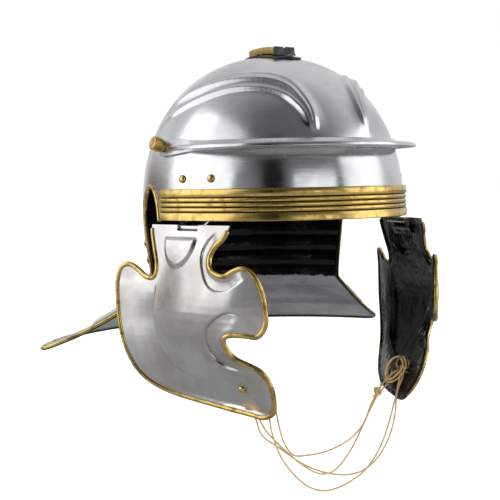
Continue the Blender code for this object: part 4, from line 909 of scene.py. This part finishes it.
def brass_look(name, spacing=(90.0, 90.0, 90.0), aged=0.5, shaded_grooves=False):
    """Brass, brown where tarnished in patches, and with painted shade in the grooves of the brow band."""
    made, tree, inputs = new_look(name, 1.0)
    patches = cloudy(tree, 140.0, 0.42, 0.75, 5.0)
    strokes = brushed(tree, spacing)
    tarnish_and_groove_shade = times(tree, patches, aged)
    if shaded_grooves:
        # Painted shade: the grooves between the band's ribs are darkened towards the tarnished brown, standing in
        # for the shade that falls in them
        bottom = added(tree, object_level(tree), -BAND_LEDGE_HEIGHT)
        near = ranged(tree, added(tree, bottom, BAND_PITCH / 2, "PINGPONG"), 0.9, 0.0, 0.0002, 0.0009)
        below = ranged(tree, bottom, 0.0, 1.0, -0.0008, -0.0004)
        above = ranged(tree, bottom, 1.0, 0.0, BAND_RIBS * BAND_PITCH + 0.0004, BAND_RIBS * BAND_PITCH + 0.0008)
        groove_shade = times(tree, near, times(tree, below, above))
        tarnish_and_groove_shade = added(tree, tarnish_and_groove_shade, groove_shade, "MAXIMUM")
    roughness = added(tree, ranged(tree, patches, 0.20, 0.38), ranged(tree, strokes, *STROKE_ROUGHNESS))
    wire(tree, inputs, mixed(tree, tarnish_and_groove_shade, BRASS, TARNISH_AND_SHADE), roughness, strokes, 0.08, 0.0002)
    return made


def paint_nodes(tree):
    """Brush marks and runs in thick black paint: a colour, a roughness and a height."""
    runs, grain = (cloudy(tree, size, 0.30, 0.70, 2.0) for size in (75.0, 420.0))
    height = added(tree, runs, times(tree, grain, 0.12))
    return mixed(tree, runs, *BLACK_PAINT), ranged(tree, grain, 0.10, 0.22), height


def paint_look(name):
    made, tree, inputs = new_look(name, 0.0, Coat_Weight=0.08, Coat_Roughness=0.1, Specular_IOR_Level=0.22)
    wire(tree, inputs, *paint_nodes(tree), 0.55, 0.0009)
    return made


def lining_look(name, paint_end):
    """Inside of the bowl: black paint down to a ragged line, and bare steel below it."""
    made, tree, inputs = new_look(name, 0.0, Specular_IOR_Level=0.18)
    colour, rough, height = paint_nodes(tree)
    ragged = cloudy(tree, 260.0, 0.2, 0.8, 4.0)
    line = added(tree, object_level(tree), ranged(tree, ragged, -0.0016, 0.0016))
    bare = ranged(tree, line, 1.0, 0.0, paint_end - 0.0003, paint_end + 0.0003)
    strokes = brushed(tree, (40.0, 40.0, 300.0))
    steel = mixed(tree, cloudy(tree, 22.0), (0.34, 0.35, 0.36), (0.20, 0.21, 0.22))
    metal_rough = added(tree, ranged(tree, strokes, 0.0, 0.08), 0.24)
    both = add_node(tree, "Mix", {0: bare, 2: rough, 3: metal_rough}).outputs[0]
    tree.links.new(bare, inputs["Metallic"])
    wire(tree, inputs, mixed(tree, bare, colour, steel), both, height, 0.4, 0.0006)
    return made


def blackened_look(name, dark=(0.022, 0.024, 0.03), worn=(0.09, 0.09, 0.095)):
    made, tree, inputs = new_look(name, 0.6)
    patches = cloudy(tree, 160.0, 0.35, 0.75, 4.0)
    rough = ranged(tree, patches, 0.28, 0.45)
    wire(tree, inputs, mixed(tree, patches, dark, worn), rough, patches, 0.2, 0.0003)
    return made


def cord_look(name):
    made, tree, inputs = new_look(name, 0.0, Sheen_Weight=0.25, Specular_IOR_Level=0.35)
    fibres = brushed(tree, (2400.0, 2400.0, 2400.0), 0.2)
    tan = mixed(tree, cloudy(tree, 90.0, 0.3, 0.7), (0.93, 0.63, 0.27), (0.78, 0.50, 0.19))
    colour = mixed(tree, times(tree, fibres, 0.3), tan, (0.88, 0.66, 0.36))
    wire(tree, inputs, colour, ranged(tree, fibres, 0.55, 0.8), fibres, 0.35, 0.0002)
    return made


def floor_look():
    """A pale floor that also gives off light, to the camera only."""
    made, tree, inputs = new_look("pale_floor", 0.0, Specular_IOR_Level=0.1, Roughness=0.9,
                                  Emission_Color=(1.0, 1.0, 1.0, 1.0))
    patches = cloudy(tree, 3.0)
    tree.links.new(mixed(tree, patches, (0.60, 0.60, 0.60), (0.58, 0.58, 0.58)), inputs["Base Color"])
    tree.links.new(add_node(tree, "LightPath", {}).outputs["Is Camera Ray"], inputs["Emission Strength"])
    return made


LOOKS = {
    "bowl": steel_look("steel_bowl", (45.0, 45.0, 1100.0)),
    "guard": steel_look("steel_guard", (500.0, 90.0, 60.0), (0.57, 0.57, 0.575), (0.43, 0.415, 0.40),
                        0.15, 0.28),
    "fitting": steel_look("steel_fitting", (80.0, 80.0, 500.0), smooth=0.18, rough=0.30),
    "brass": brass_look("brass_fitting"),
    "trim": brass_look("brass_trim", (300.0, 300.0, 300.0), 0.8),
    "band": brass_look("brass_band", (30.0, 30.0, 1300.0), 0.5, True),
    "paint": paint_look("black_paint"),
    "lining": lining_look("bowl_lining", -NAPE_DROP),
    "blackened": blackened_look("blackened_steel_worn"),
    "worn": blackened_look("worn_rivets", (0.10, 0.085, 0.05), (0.30, 0.25, 0.14)),
    "cord": cord_look("waxed_cord"),
}


# Pieces

def bowl_levels():
    """Rows of the bowl's sheet: close together over the nape ribs and at both edges of the brim's step."""
    brim = PATTERN_ENDS[-1] - PATTERN_ENDS[-2]
    fine = [(PATTERN_ENDS[1], PATTERN_ENDS[2] + 0.003)]
    fine += [(PATTERN_ENDS[2] + share * brim - 0.002, PATTERN_ENDS[2] + (share + BRIM_STEP_SLOPE) * brim + 0.002)
             for share in BRIM_STEP]
    levels = [0.0]
    while levels[-1] < PATTERN_ENDS[-1]:
        close = any(start <= levels[-1] <= end for start, end in fine)
        levels.append(levels[-1] + (BOWL_FINE_CELL if close else BOWL_CELL))
    levels = np.array(levels)
    return levels * PATTERN_ENDS[-1] / levels[-1]


def brow_gaps(places):
    """Distance to the nearest brow ridge, measured on the sheet, and the nearest place on it."""
    gaps, spots = nearest_of(on_right(places), BROW_LINES, brow_squeeze(places))
    return gaps, spots * np.where(places[:, :1] > 0, [-1.0, 1.0], [1.0, 1.0])


def crease_gaps(places):
    return nearest_of(places, CREASE_LINES)


def refine_along(work, gaps_to_line, cell, reaches):
    """Splits the cells along raised or sunk lines, then draws the nearest corners onto the lines."""
    for reach in reaches:
        near = gaps_to_line(face_middles(work)[:, :2])[0] < reach
        chosen = [face for face, close in zip(work.faces[:], near) if close]
        edges = list(dict.fromkeys(edge for face in chosen for edge in face.edges))
        bmesh.ops.subdivide_edges(work, edges=edges, cuts=1, use_grid_fill=True)
        cell /= 2
    gaps, spots = gaps_to_line(flat_places(work))
    for vert, gap, spot in zip(work.verts, gaps, spots):
        if gap < cell * 0.5 and not vert.is_boundary:
            vert.co = (*spot, 0.0)


def make_bowl():
    """Skull, nape and neck guard from one fine sheet."""
    half_round = math.pi * SKULL_HALF_LENGTH
    levels = bowl_levels()
    work = grid_sheet(2 * round(half_round / BOWL_CELL), len(levels) - 1)
    for vert in work.verts:
        vert.co = ((vert.co.x * 2 - 1) * half_round, levels[round(vert.co.y * (len(levels) - 1))], 0.0)
    edge = edge_line()
    rim = float(to_flat(0.0, 1.0 + WALL_HEIGHT / (WALL_HEIGHT + NAPE_DROP))[1])
    beyond = half_round * 1.01
    half = np.vstack([[(0.0, rim), (edge[0, 0], rim)], edge, [(beyond, levels[-1]), (beyond, -0.01)]])
    cut_to_outline(work, np.vstack([half, half[1:][::-1] * [-1.0, 1.0]]), BOWL_CELL * RIM_REACH)
    refine_along(work, brow_gaps, BOWL_CELL, CREST_REACHES)
    for vert in work.verts:
        if abs(abs(vert.co.x) - half_round) < BOWL_CELL * 0.3:
            vert.co.x = math.copysign(half_round, vert.co.x)
    places = flat_places(work)
    places[:, 1] = np.maximum(places[:, 1], 1e-5)
    normal = -surface_normals(helmet_surface, places, BOWL_NORMAL_STEP)
    bmesh.ops.reverse_faces(work, faces=work.faces)
    give_thickness(work, helmet_surface(places), normal)
    finish_mesh("bowl", work, ["bowl", "lining"], "helmet_bowl")


def darken_inside(work, path, normals):
    """Gives the faces of a bead that look inward, near a path with outward directions, the second material."""
    middles = face_middles(work)
    for start in range(0, len(middles), FACES_AT_ONCE):
        part = slice(start, start + FACES_AT_ONCE)
        gaps = np.linalg.norm(middles[part, None] - path[None], axis=2)
        for face, gap, spot in zip(work.faces[part], gaps.min(axis=1), gaps.argmin(axis=1)):
            if gap < 3 * TRIM_RADIUS and face.normal @ Vector(normals[spot]) < INSIDE_FACING:
                face.material_index = 1


def make_edge_trim():
    """Brass bead over both ears and round the neck guard."""
    half = helmet_plain(edge_line())
    path = even_points(np.vstack([half, mirrored(half[:-1][::-1], -1)]), TRIM_STEP)
    work = loft(tube_rings(path, TRIM_RADIUS, TRIM_SIDES))
    flat = even_points(edge_line(), TRIM_STEP)
    out = -surface_normals(helmet_plain, flat)
    for side in (1, -1):
        # Faces of the bead that look inward take the black paint. Over the ears and down the nape this is the
        # paint of the inside. Along the brim, whose underside is bare steel, it is painted shade on the bead's
        # underside
        darken_inside(work, mirrored(helmet_plain(flat), side), mirrored(out, side))
    finish_mesh("edge_bead", work, ["trim", "paint"], "edge_trim")


def make_band():
    """Brow band with a ledge at both edges and ribs between, from its section as out and up."""
    tall, ledge, outer = BAND_HEIGHT, BAND_LEDGE_HEIGHT, BAND_SHEET + BAND_LEDGE_RISE
    low = BAND_SHEET * 0.7
    section = [(0.0, 0.0), (0.0, tall), (outer * 0.75, tall), (outer, tall - 0.0005),
               (outer, tall - 0.88 * ledge), (outer * 0.8, tall - 0.97 * ledge)]
    for rib in range(BAND_RIBS):
        for angle in np.linspace(0.0, math.pi, 8)[:-1]:
            share = 0.5 - 0.5 * math.cos(angle)
            out = low + (BAND_RIB_RISE + 0.2 * BAND_SHEET) * math.sin(angle) ** 0.8
            section.append((out, tall - ledge - rib * BAND_PITCH - share * BAND_PITCH))
    section += [(low, ledge), (outer * 0.8, 0.97 * ledge), (outer, 0.88 * ledge), (outer, 0.0005),
                (outer * 0.75, 0.0)]
    end = math.acos(BAND_END / SKULL_HALF_LENGTH)
    rings = [[wall_point(turn, out, up) for out, up in section] for turn in np.linspace(-end, end, BAND_STEPS)]
    finish_mesh("ribbed_band", loft(rings), ["band"], "brow_band", BAR_SHARP_ANGLE)


def make_peak():
    """Angle bar in front that flattens into an arm at each side."""
    last = math.acos(PEAK_STUD_BACK / (SKULL_HALF_LENGTH * float(skull_share(PEAK_LEVEL))))
    end = last + PEAK_ARM_HALF / SKULL_HALF_WIDTH
    rings = []
    for turn in np.linspace(-end, end, PEAK_STEPS):
        arm = float(ease((abs(turn) / last - 0.70) / 0.30))
        side = float(ease((abs(turn) / last - 0.45) / 0.55))
        reach = PEAK_REACH + (PEAK_LEG + PEAK_ARM_BEAD - PEAK_REACH) * side
        half = PEAK_ROOT_HALF + (PEAK_ARM_HALF - PEAK_ROOT_HALF) * arm
        tip = np.clip((end - abs(turn)) * SKULL_HALF_WIDTH / PEAK_ARM_HALF, 0.0, 1.0)
        half *= math.sqrt(1.0 - (1.0 - tip) ** 2) * 0.92 + 0.08
        shelf = min(PEAK_SHELF / 2, half * 0.5)
        root = PEAK_LEG + 0.2 * (reach - PEAK_LEG)
        lip = reach - min(PEAK_SHELF, 0.4 * (reach - PEAK_LEG))
        drop = min(PEAK_LIP, half * 0.7)
        section = rounded([
            (0.0, -half), (0.0, half), (PEAK_LEG, half), (root, shelf), (lip, shelf), (reach, 0.0), (reach, -drop),
            (lip, -drop), (lip - 0.1 * (reach - PEAK_LEG), -shelf), (root, -shelf * 1.2), (PEAK_LEG, -half),
        ], 0.0005)
        rings.append([wall_point(turn, out, PEAK_LEVEL + up) for out, up in section])
    finish_mesh("brow_peak", loft(rings), ["fitting"], "peak", BAR_SHARP_ANGLE)


def make_stud(side, label):
    outside = SHEET / 2 + GAP + PEAK_LEG + PEAK_ARM_BEAD + GAP
    foot, normal = skull_frame(side, -PEAK_STUD_BACK, PEAK_LEVEL, outside)
    wide, tall = STUD_RADIUS, STUD_LENGTH
    dimple = [(0.0, tall - 0.0004), (wide * 0.3, tall - 0.0002), (wide * 0.5, tall)]
    curve = [(wide - STUD_CHAMFER * (1 - math.sin(a)), tall - STUD_CHAMFER * (1 - math.cos(a)))
             for a in np.linspace(0.0, math.pi / 2, 6)]
    neck = [(wide, tall * 0.3), (wide * 0.9, tall * 0.24), (wide * 0.9, 0.0), (0.0, 0.0)]
    work = turned_piece([*dimple, *curve, *neck], frame_at(foot, normal))
    finish_mesh(f"stud_{label}", work, ["brass"], f"peak_stud_{label}")


def rivet_dome(head, dome):
    return [(head * math.sin(a), dome * math.cos(a)) for a in np.linspace(0.0, math.pi / 2, 9)]


def make_rivet(name, node, foot, normal, grip):
    """Hammered dome outside, shank, and a flat burr inside."""
    tail = -grip - RIVET_TAIL_TALL
    profile = [*rivet_dome(RIVET_HEAD, RIVET_DOME), (RIVET_HEAD * 0.97, -0.0001), (RIVET_SHANK, -0.0001),
               (RIVET_SHANK, -grip), (RIVET_TAIL, -grip), (RIVET_TAIL, tail * 0.96), (RIVET_TAIL * 0.85, tail),
               (0.0, tail)]
    finish_mesh(name, turned_piece(profile, frame_at(foot, normal), 24), ["brass"], node)


def make_crest_plate():
    """Dark foot plate with scalloped ends that follows the crown."""
    angles = np.linspace(0.0, 2 * math.pi, 120, endpoint=False)
    cos, sin = (np.sign(round_out) * np.abs(round_out) ** CREST_PLATE_SQUARE
                for round_out in (np.cos(angles), np.sin(angles)))
    x = CREST_PLATE_HALF_WIDTH * 0.98 * (1.0 + CREST_PLATE_SCALLOP * np.cos(6 * angles)) * cos
    work = grid_sheet(60, 110)
    reach = np.array([CREST_PLATE_HALF_WIDTH, CREST_PLATE_HALF_LENGTH]) * 1.05
    for vert in work.verts:
        vert.co = ((vert.co.x * 2 - 1) * reach[0], (vert.co.y * 2 - 1) * reach[1], 0.0)
    cut_to_outline(work, np.stack([x, CREST_PLATE_HALF_LENGTH * 0.97 * sin], axis=1), 0.0009)
    places = flat_places(work)
    middle, normal = crown_point(places[:, 0], places[:, 1] + CREST_MIDDLE, SHEET / 2 + GAP + CREST_WALL / 2)
    give_thickness(work, middle, normal, CREST_WALL)
    finish_mesh("crest_foot", work, ["blackened", "blackened"], "crest_plate")


def make_crest_end(front, base):
    """Dark plate that closes the front of the channel, with a slot from the top and a flared foot."""
    half, slot, tall = CREST_WIDTH / 2 - 0.0002, CREST_SLOT * 0.3, CREST_TALL - 0.0001
    section = rounded([
        (-half - 0.0016, -0.0008), (half + 0.0016, -0.0008), (half + 0.0002, 0.0016), (half, tall), (slot, tall),
        (slot, tall * 0.42), (-slot, tall * 0.42), (-slot, tall), (-half, tall), (-half - 0.0002, 0.0016),
    ], 0.0007)
    rings = [[(x, front + along, base + up) for x, up in section] for along in (0.0, CREST_END_SHEET)]
    return painted(loft(rings))


def make_crest_channel():
    """Folded brass channel along the crown with a slot in its top."""
    half, slot, tall, wall = CREST_WIDTH / 2, CREST_SLOT / 2, CREST_TALL, CREST_WALL
    section = rounded([
        (-half, 0.0), (half, 0.0), (half, tall), (slot, tall), (slot, tall - wall), (half - wall, tall - wall),
        (half - wall, wall), (wall - half, wall), (wall - half, tall - wall), (-slot, tall - wall), (-slot, tall),
        (-half, tall),
    ], 0.0006, 5)
    rings = []
    for y in np.linspace(CREST_MIDDLE - CREST_LENGTH / 2, CREST_MIDDLE + CREST_LENGTH / 2, CREST_STEPS):
        base = crown_point(0.0, y, CREST_FOOT)[0][0][2]
        rings.append([(x, y, base + up) for x, up in section])
    _, front, base = rings[0][0]
    work = joined([loft(rings), make_crest_end(front - CREST_END_SHEET, base)])
    finish_mesh("crest_holder", work, ["brass", "blackened"], "crest_channel")


def make_crest_rivets():
    length = CREST_PLATE_HALF_LENGTH - CREST_RIVET_INSET
    out = CREST_WIDTH / 2 + GAP + CREST_RIVET_HEAD
    profile = [*rivet_dome(CREST_RIVET_HEAD, RIVET_DOME * CREST_RIVET_HEAD / RIVET_HEAD), (0.0, 0.0)]
    spots = {"front": (0.0, -length), "rear": (0.0, length), "right": (-out, 0.0), "left": (out, 0.0)}
    for label, (x, y) in spots.items():
        point, normal = crown_point(x, y + CREST_MIDDLE, CREST_FOOT)
        work = turned_piece(profile, frame_at(Vector(point[0]), normal[0]), 24)
        finish_mesh(f"crest_stud_{label}", work, ["worn"], f"crest_rivet_{label}")


def guard_outline():
    """Cheek guard in the side view, with the slot for the hinge knuckle in its straight top."""
    top = -GUARD_TOP
    low = top - HINGE_SLOT_TALL
    edge = GUARD_EDGE_LINE[GUARD_EDGE_LINE[:, 1] < top]
    reach = (HINGE_KNUCKLE_LENGTH / 2 + 2 * GAP) * HINGE_AXIS[1]
    corners = [
        (edge[-1, 0] - 0.001, top), (GUARD_HINGE_Y - reach, top), (GUARD_HINGE_Y - reach, low),
        (GUARD_HINGE_Y + reach, low), (GUARD_HINGE_Y + reach, top), (edge[0, 0] + 0.001, top),
    ]
    return np.vstack([edge, corners])


def make_guard(side, label):
    """Embossed steel sheet, bare outside and painted inside."""
    outline = guard_outline()
    low = outline.min(axis=0)
    size = outline.max(axis=0) - low
    work = grid_sheet(*[round(length / GUARD_CELL) for length in size])
    for vert in work.verts:
        vert.co = (low[0] + vert.co.x * size[0], low[1] + vert.co.y * size[1], 0.0)
    cut_to_outline(work, outline, GUARD_CELL * RIM_REACH)
    refine_along(work, crease_gaps, GUARD_CELL, [CREASE_REACH])
    places = flat_places(work)
    normal = surface_normals(guard_surface, places, GUARD_NORMAL_STEP)
    if side < 0:
        bmesh.ops.reverse_faces(work, faces=work.faces)
    give_thickness(work, mirrored(guard_surface(places), side), mirrored(normal, side))
    finish_mesh(f"guard_{label}", work, ["guard", "paint"], f"cheek_guard_{label}")


def make_guard_trim(side, label):
    flat = even_points(GUARD_EDGE_LINE, GUARD_TRIM_STEP)
    path = mirrored(guard_plain(flat), side)
    work = loft(tube_rings(path, GUARD_TRIM_RADIUS, TRIM_SIDES))
    darken_inside(work, path, mirrored(surface_normals(guard_plain, flat), side))
    finish_mesh(f"guard_bead_{label}", work, ["trim", "paint"], f"cheek_guard_trim_{label}")


def strip_piece(points, start, end, side):
    """A bent strip of hinge sheet between two places along the pin, from its middle line as out and up."""
    points = np.asarray(points, float)
    direction = directions(points)
    across = np.stack([-direction[:, 1], direction[:, 0]], axis=1) * HINGE_PLATE_SHEET / 2
    section = np.vstack([points + across, (points - across)[::-1]])
    return loft([[mirrored(HINGE_POINT + HINGE_AXIS * along + HINGE_OUT * out + np.array([0.0, 0.0, up]), side)
                  for out, up in section] for along in (start, end)])


def skull_inside(along, up):
    """Distance out from the hinge pin's line to the inner face of the skull wall."""
    share = float(skull_share(HINGE_POINT[2] + up))
    scale = 1.0 / (np.array([SKULL_HALF_WIDTH, SKULL_HALF_LENGTH]) * share - SHEET / 2)
    p = (HINGE_POINT + HINGE_AXIS * along)[:2] * scale
    d = HINGE_OUT[:2] * scale
    a, b, c = d @ d, 2 * p @ d, p @ p - 1.0
    return (-b + math.sqrt(b * b - 4 * a * c)) / (2 * a)


def rolled(start, radius):
    return [(radius * math.cos(a), radius * math.sin(a)) for a in np.linspace(start, start + HINGE_ROLL, 30)]


def make_hinge(side, label):
    """Plate inside the skull, flap behind the guard, both rolled round a brass pin."""
    radius = HINGE_PIN_RADIUS + GAP + HINGE_PLATE_SHEET / 2
    half = HINGE_PLATE_WIDTH / 2
    length = HINGE_KNUCKLE_LENGTH / 2
    line = []
    for level in np.linspace(HINGE_PLATE_TALL, 0.0, 14):
        up = level - HINGE_POINT[2]
        inner = min(skull_inside(along, up) for along in (-half, 0.0, half))
        line.append((inner - HINGE_PLATE_EASE - HINGE_PLATE_SHEET / 2, up))
    out, up = line[-1]
    neck = [(out, up + 0.0005), (out * 0.6 - radius * 0.4, (up + radius) * 0.55), (-radius, radius)]
    knuckle = strip_piece([*neck, *rolled(math.pi, radius)], -length, length, side)
    plate = joined([painted(strip_piece(line, -half, half, side)), knuckle])
    finish_mesh(f"hinge_leaf_{label}", plate, ["fitting", "paint"], f"hinge_plate_{label}")

    gap = length + 2 * GAP
    far = gap + HINGE_SIDE_LENGTH
    low = []
    for up in np.linspace(HINGE_FLAP_TALL, radius * 2.6, 10):
        spots = []
        for along in np.linspace(-far, far, 7):
            place = HINGE_POINT + HINGE_AXIS * along
            sheet = guard_surface(np.array([[place[1], HINGE_POINT[2] - up]]))[0]
            spots.append((sheet - place) @ HINGE_OUT)
        low.append((min(spots) - SHEET / 2 - HINGE_FLAP_EASE - HINGE_PLATE_SHEET / 2, -up))
    curl = [low[-1], (radius * 0.9, -radius * 0.9), *rolled(0.0, radius)]
    knuckles = [strip_piece(curl, start, end, side) for start, end in ((-far, -gap), (gap, far))]
    flap = joined([painted(strip_piece(low, -far, far, side)), *knuckles])
    finish_mesh(f"hinge_tail_{label}", flap, ["fitting", "paint"], f"hinge_flap_{label}")

    reach = far + 0.001
    pin = HINGE_PIN_RADIUS
    profile = [(0.0, 2 * reach), (pin * 0.8, 2 * reach), (pin, 2 * reach - 0.0003), (pin, 0.0003),
               (pin * 0.8, 0.0), (0.0, 0.0)]
    start = Vector(mirrored(HINGE_POINT - HINGE_AXIS * reach, side))
    work = turned_piece(profile, frame_at(start, mirrored(HINGE_AXIS, side)), 20)
    finish_mesh(f"hinge_rod_{label}", work, ["brass"], f"hinge_pin_{label}")
    grip = SHEET + HINGE_PLATE_EASE + HINGE_PLATE_SHEET + HINGE_RIVET_SLACK
    for end, spread in (("front", -HINGE_RIVET_SPREAD), ("rear", HINGE_RIVET_SPREAD)):
        foot, out = skull_frame(side, GUARD_HINGE_Y + spread, HINGE_RIVET_LEVEL, SHEET / 2 + GAP)
        make_rivet(f"skull_rivet_{label}_{end}", f"hinge_rivet_{label}_{end}", foot, out, grip)


def make_eye(side, label):
    """Brass rivet through the guard with a wire ring inside."""
    outward = Vector(mirrored(EYE_OUT, side))
    foot = Vector(mirrored(EYE_SPOT + EYE_OUT * (SHEET / 2 + GAP), side))
    grip = SHEET + EYE_STAND - EYE_RING
    tail = -grip - RIVET_TAIL_TALL
    profile = [*rivet_dome(RIVET_HEAD, RIVET_DOME), (RIVET_SHANK, 0.0), (RIVET_SHANK, -grip),
               (RIVET_TAIL, -grip), (RIVET_TAIL, tail * 0.97), (RIVET_TAIL * 0.8, tail), (0.0, tail)]
    rivet = turned_piece(profile, frame_at(foot, outward), 24)
    ring = bmesh.new()
    circle = bmesh.ops.create_circle(ring, segments=14, radius=EYE_WIRE)["verts"]
    bmesh.ops.rotate(ring, verts=circle, cent=(0, 0, 0), matrix=Matrix.Rotation(math.pi / 2, 3, "X"))
    bmesh.ops.translate(ring, verts=circle, vec=(EYE_RING, 0.0, 0.0))
    centre = foot - outward * (grip + RIVET_TAIL_TALL + EYE_RING - EYE_WIRE * 0.5)
    spun(ring, ring.verts[:] + ring.edges[:], frame_at(centre, outward.cross(Vector((0.0, 0.0, 1.0)))), 48)
    finish_mesh(f"tie_eye_{label}", joined([rivet, ring]), ["brass"], f"cord_eye_{label}")


def new_line(curve, points):
    line = curve.splines.new("POLY")
    line.points.add(len(points) - 1)
    for point, place in zip(line.points, points):
        point.co = (*place, 1.0)
    return line


def cord_section():
    """Three-lobed outline of the twisted cord, as a curve that the cord is swept with."""
    shape = bpy.data.curves.new("cord_outline", "CURVE")
    shape.dimensions = "2D"
    angles = np.linspace(0.0, 2 * math.pi, 12, endpoint=False)
    radius = CORD_RADIUS * (1.16 + 0.08 * np.cos(CORD_STRANDS * angles))
    spots = np.stack([radius * np.cos(angles), radius * np.sin(angles), 0 * angles], axis=1)
    new_line(shape, spots).use_cyclic_u = True
    item = linked("cord_outline", shape)
    item.hide_render = item.hide_viewport = True
    return item


def make_cord(name, route, outline):
    """Twisted cord on one open spline, and its length."""
    path = even_points(smooth_curve(route, 16), CORD_STEP)
    curve = bpy.data.curves.new(name, "CURVE")
    curve.dimensions = "3D"
    curve.bevel_mode = "OBJECT"
    curve.bevel_object = outline
    curve.use_fill_caps = True
    curve.twist_mode = "MINIMUM"
    for number, point in enumerate(new_line(curve, path).points):
        point.tilt = number * CORD_STEP / CORD_TWIST * 2 * math.pi
    curve.materials.append(LOOKS["cord"])
    length = float(np.linalg.norm(np.diff(path, axis=0), axis=1).sum())
    return as_piece(name, curve, f"chin_{name}"), length


def cord_loop(centre, across, up, thick, points, wave=(0.0, 0.0, 0.0)):
    """One turn of cord round a centre, drawn to and fro twice by a wave."""
    turns = np.linspace(0.0, 2 * math.pi, points)
    loop = centre + np.outer(np.cos(turns), across) + np.outer(np.sin(turns), up)
    loop = loop + np.outer(np.sin(2 * turns), wave)
    return loft(tube_rings(loop, CORD_RADIUS * thick, 10))


def make_knot():
    """Tied knot: three turns of cord round the strands, and two short tails."""
    centre = np.array(KNOT)
    works = []
    for tilt, phase in KNOT_TURNS:
        first = unit(np.array([math.cos(tilt), 0.35, math.sin(tilt)]))
        second = unit(np.cross(first, [0.2, 1.0, 0.1 + 0.3 * phase]))
        reach = KNOT_RADIUS * (0.95 + 0.12 * phase)
        works.append(cord_loop(centre, reach * first, reach * 0.7 * second, 1.05, 40))
    for tail in KNOT_TAILS:
        path = smooth_curve([centre, *(centre + np.array(spot) for spot in tail)], 6)
        works.append(loft(tube_rings(path, CORD_RADIUS * 0.95, 8)))
    return finish_mesh("tied_knot", joined(works), ["cord"], "cord_knot")


def make_tie_loops():
    """Two turns of cord that hang in the ring inside the left guard's tip."""
    down = unit(np.array([0.0, 0.0, -1.0]) + EYE_OUT * EYE_OUT[2])
    across = unit(np.cross(down, np.array([0.0, -LOOP_TURN, 0.0]) - EYE_OUT))
    middle = EYE_SPOT - EYE_OUT * LOOP_STAND + down * LOOP_DROP
    across, up, wave = across * LOOP_HALF[0], down * -LOOP_HALF[1], EYE_OUT * -LOOP_WAVE
    works = [cord_loop(middle - EYE_OUT * lean, size * across, size * up, 1.08, 60, wave)
             for size, lean in LOOP_TURNS]
    finish_mesh("tie_loops", joined(works), ["cord"])


def make_cords():
    outline = cord_section()
    knot = make_knot()
    front, front_length = make_cord("cord_front", CORD_FRONT_ROUTE, outline)
    rear, rear_length = make_cord("cord_rear", CORD_REAR_ROUTE, outline)


# Studio

def make_camera():
    turn, pitch, roll = CAMERA_TURN, CAMERA_PITCH, CAMERA_ROLL
    ahead = Vector((math.sin(turn) * math.cos(pitch), math.cos(turn) * math.cos(pitch), math.sin(pitch)))
    level = Vector((math.cos(turn), -math.sin(turn), 0.0))
    upright = level.cross(ahead)
    right = math.cos(roll) * level + math.sin(roll) * upright
    up = -math.sin(roll) * level + math.cos(roll) * upright
    data = bpy.data.cameras.new("photo_camera")
    data.sensor_width = SENSOR
    data.lens = CAMERA_LENS
    item = linked("photo_camera", data)
    item.matrix_world = placed(CAMERA_PLACE, right, up, -ahead)
    bpy.context.scene.camera = item


def make_softbox(name, turn, lift, distance, width, height, brightness):
    """A rectangular light that looks at the origin; the fill light doesn't show in reflections."""
    angle = math.radians(turn) - CAMERA_TURN
    lift = math.radians(lift)
    level = math.cos(lift)
    place = Vector((math.sin(angle) * level, -math.cos(angle) * level, math.sin(lift))) * distance
    data = bpy.data.lights.new(name, "AREA")
    data.shape = "RECTANGLE"
    data.size = width
    data.size_y = height
    data.energy = brightness * math.pi * width * height
    item = linked(name, data)
    item.matrix_world = Matrix.Translation(place) @ place.to_track_quat("Z", "Y").to_matrix().to_4x4()
    item.visible_camera = False
    item.visible_glossy = name != "fill"


def make_studio():
    work = bmesh.new()
    bmesh.ops.create_grid(work, x_segments=1, y_segments=1, size=FLOOR_HALF)
    bmesh.ops.translate(work, verts=work.verts, vec=(0.0, 0.0, FLOOR_LEVEL))
    mesh = bpy.data.meshes.new("studio_floor")
    work.to_mesh(mesh)
    work.free()
    mesh.materials.append(floor_look())
    linked("studio_floor", mesh)
    for softbox in SOFTBOXES:
        make_softbox(*softbox)
    make_world()
    bpy.context.scene.view_settings.view_transform = "Standard"


def make_world():
    """Pale room, dim behind and above the camera, with two dark strips in front and brown low at the left."""
    world = bpy.data.worlds.new("studio")
    bpy.context.scene.world = world
    world.use_nodes = True
    tree = world.node_tree
    view = add_node(tree, "TexCoord", {}).outputs["Generated"]
    back = Vector((-math.sin(CAMERA_TURN), -math.cos(CAMERA_TURN), 0.0))
    right = Vector((math.cos(CAMERA_TURN), -math.sin(CAMERA_TURN), 0.0))
    up = Vector((0.0, 0.0, 1.0))

    def towards(direction):
        values = {0: view, 1: direction.normalized()}
        return add_node(tree, "VectorMath", values, operation="DOT_PRODUCT").outputs["Value"]

    strength = ranged(tree, towards(back + up * 0.75), ROOM, ROOM_DIM, 0.20, 0.85)
    for place, half, front in STRIPS:
        off = add_node(tree, "Math", {0: added(tree, towards(right), -place)}, operation="ABSOLUTE")
        strip = ranged(tree, off.outputs[0], 0.95, 0.0, half, half * 1.7)
        strip = times(tree, strip, ranged(tree, towards(back), 0.0, 1.0, front, front + 0.1))
        strength = times(tree, strength, ranged(tree, strip, 1.0, 0.0))
    brown = ranged(tree, towards(right * -0.86 - back * 0.5 - up * 0.05), 0.0, 1.0, 0.80, 0.93)
    brown = times(tree, brown, ranged(tree, towards(up), 1.0, 0.0, 0.05, 0.25))
    seen = add_node(tree, "LightPath", {}).outputs["Is Camera Ray"]
    brown = times(tree, brown, ranged(tree, seen, 1.0, 0.0))
    inputs = tree.nodes["Background"].inputs
    tree.links.new(add_node(tree, "Mix", {0: seen, 2: strength, 3: BACKDROP}).outputs[0], inputs["Strength"])
    tree.links.new(mixed(tree, brown, (1.0, 1.0, 1.0), (0.24, 0.17, 0.12)), inputs["Color"])


for make in (make_camera, make_cords, make_bowl, make_edge_trim, make_band, make_peak, make_crest_plate,
             make_crest_channel, make_crest_rivets):
    make()
for side, label in ((-1, "right"), (1, "left")):
    for make in (make_stud, make_guard, make_guard_trim, make_hinge, make_eye):
        make(side, label)
make_tie_loops()
make_studio()
